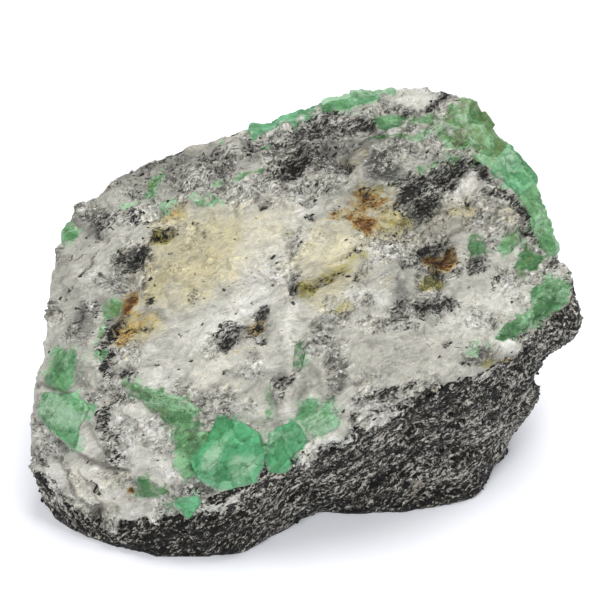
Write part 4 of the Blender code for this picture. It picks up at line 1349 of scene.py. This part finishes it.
    dull = 0.52 - greenShare * 0.2 - grey * 0.12 + fine * 0.3 - mica * 0.15
    height = fine * (granular * 0.8 + 0.25) + flakes * 0.3 + patch * 0.4
    height = height - mica * 0.2 + wisp * 0.12 + ledge * 0.35
    tilts = ((size["block"], greenShare * 0.25 + 0.15), (size["plate"], granular * 0.35 + 0.1),
             (size["grain"], granular * 0.35 + 0.1))
    normal = wires.bumped(0.8, 0.35, height, glinting(wires, crooked, tilts))
    return finishMaterial(material, colour, dull, normal, shine)


schistFinish = {
    "tones": ((0.0, (0.006, 0.0056, 0.005)), (0.28, (0.014, 0.0132, 0.0115)), (0.44, (0.045, 0.042, 0.036)),
              (0.6, (0.135, 0.129, 0.111)), (0.8, (0.34, 0.325, 0.28)), (1.0, (0.70, 0.67, 0.60))),
    "tan": (0.30, 0.25, 0.17),
}


def schistMaterial():
    material, wires, _ = newMaterial("mica schist")
    layered = wires.attribute("layered", "Vector")
    lens = layered.wandering(1.2, 0.8).stretched((1.7, 1.7, 0.75))
    cell = lens.cellValue(0.4)
    sheets = lens.noise(0.8, 5, 0.74, 0.3)
    grit = layered.stretched((1.3, 1.3, 0.9)).noise(0.32, 3, 0.75)
    cloud = layered.stretched((3.4, 3.4, 0.9)).noise(2.6, 4, 0.6, 0.4)
    pale = wires.attribute("pale")
    # darker where marked, and with the shade painted along the foot
    dark = wires.attribute("dark")
    tone = cell * 0.85 + sheets * 2.7 + grit * 3.4 + cloud * 2.0 + pale * 0.25 - dark * 0.28 - 0.01
    colour = tone.toned(schistFinish["tones"])
    tan = (wires.attribute("tan") + grit * 1.4).step(0.2, 0.9) * tone.step(0.3, 0.6)
    colour = colour.painted(schistFinish["tan"], tan * 0.5)
    quartz = (wires.attribute("quartz") + sheets * 1.6 + grit * 1.0).step(0.42, 0.6)
    whiter = (cell * 0.3 + grit * 2.0 + sheets + 0.55).toned(rockFinish["tones"])
    colour = colour.painted(whiter, quartz)
    rough = 0.6 - tone.step(0.5, 0.2) * 0.25
    height = sheets * 1.2 + grit * 1.0 + cell * 0.3
    normal = wires.bumped(0.9, 0.45, height, glinting(wires, lens, ((0.5, 0.7),)))
    return finishMaterial(material, colour, rough, normal, {"Specular IOR Level": 0.22})


looseGrains = {
    # slot, how many, smallest and largest half width, thickness as a share of it, how far sunk, tilt, seed
    "mica_flakes": ("mica_schist", 2600, 0.14, 0.45, 0.14, 0.25, 0.9, 701),
    "schist_flakes": ("mica_schist", 3400, 0.2, 0.55, 0.16, 0.3, 0.45, 711),
    "schist_grains": ("vein_quartz", 3000, 0.14, 0.4, 0.6, 0.45, 0.4, 721),
    "quartz_grains": ("vein_quartz", 1800, 0.1, 0.3, 0.6, 0.6, 0.9, 731),
}
grainShape = {
    "sides": 6,
    "unequal": 2.2,  # the higher, the more of them are small
    "long": (0.8, 1.35),  # length and width as shares of the drawn size
    "wide": 0.8,
    "rim": (0.5, 0.8),  # width of the flat sides as a share of the middle's
    "corner": (0.78, 1.15),  # how far the corners reach, and how far they turn aside
    "aside": 0.22,
    "lowest": 0.02,
}


def makeLooseGrains(name, mesh, chance, leading):
    # small broken plates or crumbs sunk in a surface: leading is the direction their flat sides follow
    slot, count, small, large, thick, sunk, tilt, seed = looseGrains[name]
    sides = grainShape["sides"]
    draw = np.random.default_rng(seed)
    points = pointsOf(mesh)
    normals = normalsOf(mesh)
    corners = []
    faces = []
    for index in draw.choice(len(points), count, p=chance / chance.sum()):
        normal = normals[index]
        up = (normal if leading is None else leading) + tilt * draw.normal(size=3)
        up /= np.linalg.norm(up)
        side = np.cross(up, draw.normal(size=3))
        side /= np.linalg.norm(side)
        front = np.cross(up, side)
        half = small + (large - small) * draw.random() ** grainShape["unequal"]
        middle = points[index] - normal * half * sunk * (0.4 + 0.6 * draw.random())
        long = half * draw.uniform(*grainShape["long"])
        start = len(corners)
        rims = [draw.uniform(*grainShape["rim"]) for _ in range(2)]
        for level, shrink in ((thick, rims[0]), (0, 1), (-thick, rims[1])):
            for number in range(sides):
                angle = 2 * math.pi * (number + draw.uniform(-1, 1) * grainShape["aside"]) / sides
                reach = shrink * draw.uniform(*grainShape["corner"])
                along = side * math.cos(angle) * long * reach
                across = front * math.sin(angle) * half * reach * grainShape["wide"]
                corners.append(middle + along + across + up * level * half)
        for ring in (0, 1):
            for number in range(sides):
                one = start + ring * sides + number
                two = start + ring * sides + (number + 1) % sides
                faces.append((one, one + sides, two + sides, two))
        faces.append([start + number for number in range(sides)])
        faces.append([start + 3 * sides - 1 - number for number in range(sides)])
    corners = np.array(corners)
    corners[:, 2] = np.maximum(corners[:, 2], grainShape["lowest"])
    made = bpy.data.meshes.new(name)
    made.from_pydata((corners * mm).tolist(), [], faces)
    return addObject(name, made), slot


grainFinish = {
    # darkest and lightest colour, roughness, size of the colour's patches
    "mica": ((0.006, 0.0056, 0.005), (0.035, 0.033, 0.03), 0.36, 0.5),
    "pale": ((0.30, 0.295, 0.275), (0.86, 0.85, 0.82), 0.42, 0.6),
    "schistPale": ((0.13, 0.125, 0.115), (0.52, 0.51, 0.48), 0.5, 0.6),
}


def grainMaterial(name, kind):
    dark, light, plainRough, size = grainFinish[kind]
    material, wires, place = newMaterial(name)
    patch = place.noise(size, 3, 0.6)
    colour = (patch * 1.8 + place.cellValue(size) * 0.5 + 0.2).toned(((0, dark), (1, light)))
    normal = wires.bumped(0.5, 0.1, place.noise(0.15, 2))
    return finishMaterial(material, colour, patch * 0.3 + plainRough, normal, {"Specular IOR Level": 0.35})


print("vein")
veinPiece = makeVein()
veinPiece.data.materials.append(stoneMaterial("vein quartz", stoneShine["rock"]))
print("schist")
schistPiece = makeSchist()
schistPiece.data.materials.append(schistMaterial())
pieces = [(veinPiece, "quartz_vein", "vein_quartz"), (schistPiece, "schist_base", "mica_schist")]

print("emeralds")
emeraldStone = stoneMaterial("emerald", stoneShine["crystal"])
for node in crystals:
    piece = makeEmerald(node)
    piece.data.materials.append(emeraldStone)
    pieces.append((piece, node, "emerald"))


def exposed(mesh):
    # the points that can be seen, off the sole
    points = pointsOf(mesh)
    depth, _ = underSkin(points)
    return (depth < skin["open"]) * (points[:, 2] > 0.8)


print("loose grains")
veinMesh = veinPiece.data
schistMesh = schistPiece.data
veinOpen = exposed(veinMesh)
schistOpen = exposed(schistMesh)
micaThere = attributeOf(veinMesh, "mica")
veinRough = attributeOf(veinMesh, "granular")
for stain in ("cream", "rust", "mica"):
    veinRough *= 1 - np.clip(1.2 * attributeOf(veinMesh, stain), 0, 1)
veinRough *= attributeOf(veinMesh, "crystal") < -1
layerUp = np.array((0, -contact["climb"], 1))
layerUp /= np.linalg.norm(layerUp)
for name, mesh, chance, leading, kind in (
        ("mica_flakes", veinMesh, veinOpen * (micaThere ** 2 + 0.002), None, "mica"),
        ("schist_flakes", schistMesh, schistOpen, layerUp, "mica"),
        ("schist_grains", schistMesh, schistOpen, layerUp, "schistPale"),
        ("quartz_grains", veinMesh, veinOpen * (veinRough ** 2 + 0.003), None, "pale")):
    piece, slot = makeLooseGrains(name, mesh, chance.astype(float), leading)
    piece.data.materials.append(grainMaterial(name.replace("_", " "), kind))
    pieces.append((piece, None, slot))

for piece, node, slot in pieces:
    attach(piece, "root")
    if node:
        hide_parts(node)
    print(piece.name, sum(len(face.vertices) - 2 for face in piece.data.polygons), "triangles")


studio = {
    "floor": (0.93, 0.94, 0.97),
    "floorGlow": ((0.86, 0.90, 1.0), 0.2),
    "world": (1.0, 1.0, 1.0),
    "worldStrength": 0.42,
    # place, size and power of each soft light, all aimed at the stone
    "lights": {
        "overhead": ((0.16, 0.22, 0.8), 0.6, 5.7),
        "front": ((-0.3, -0.7, 0.55), 0.5, 3.1),
    },
    "aim": (0, 0, 0.02),
}


def buildStudio():
    bpy.ops.mesh.primitive_plane_add(size=6, location=(0, 0, 0))
    floor = bpy.context.object
    floor.name = "floor"
    material, _, _ = newMaterial("studio floor")
    shader = material.node_tree.nodes["Principled BSDF"]
    glow, strength = studio["floorGlow"]
    for name, value in (("Base Color", (*studio["floor"], 1)), ("Emission Color", (*glow, 1)),
                        ("Emission Strength", strength), ("Roughness", 0.9), ("Specular IOR Level", 0.1)):
        shader.inputs[name].default_value = value
    floor.data.materials.append(material)
    for name, (place, size, power) in studio["lights"].items():
        lamp = bpy.data.lights.new(name, "AREA")
        lamp.shape = "DISK"
        lamp.size = size
        lamp.energy = power
        light = addObject(name, lamp)
        light.location = place
        aimAlong(light, Vector(studio["aim"]) - light.location)
    world = bpy.data.worlds.new("studio")
    world.use_nodes = True
    background = world.node_tree.nodes["Background"]
    background.inputs["Color"].default_value = (*studio["world"], 1)
    background.inputs["Strength"].default_value = studio["worldStrength"]
    bpy.context.scene.world = world
    bpy.context.scene.view_settings.view_transform = "Standard"


placeCamera()
buildStudio()
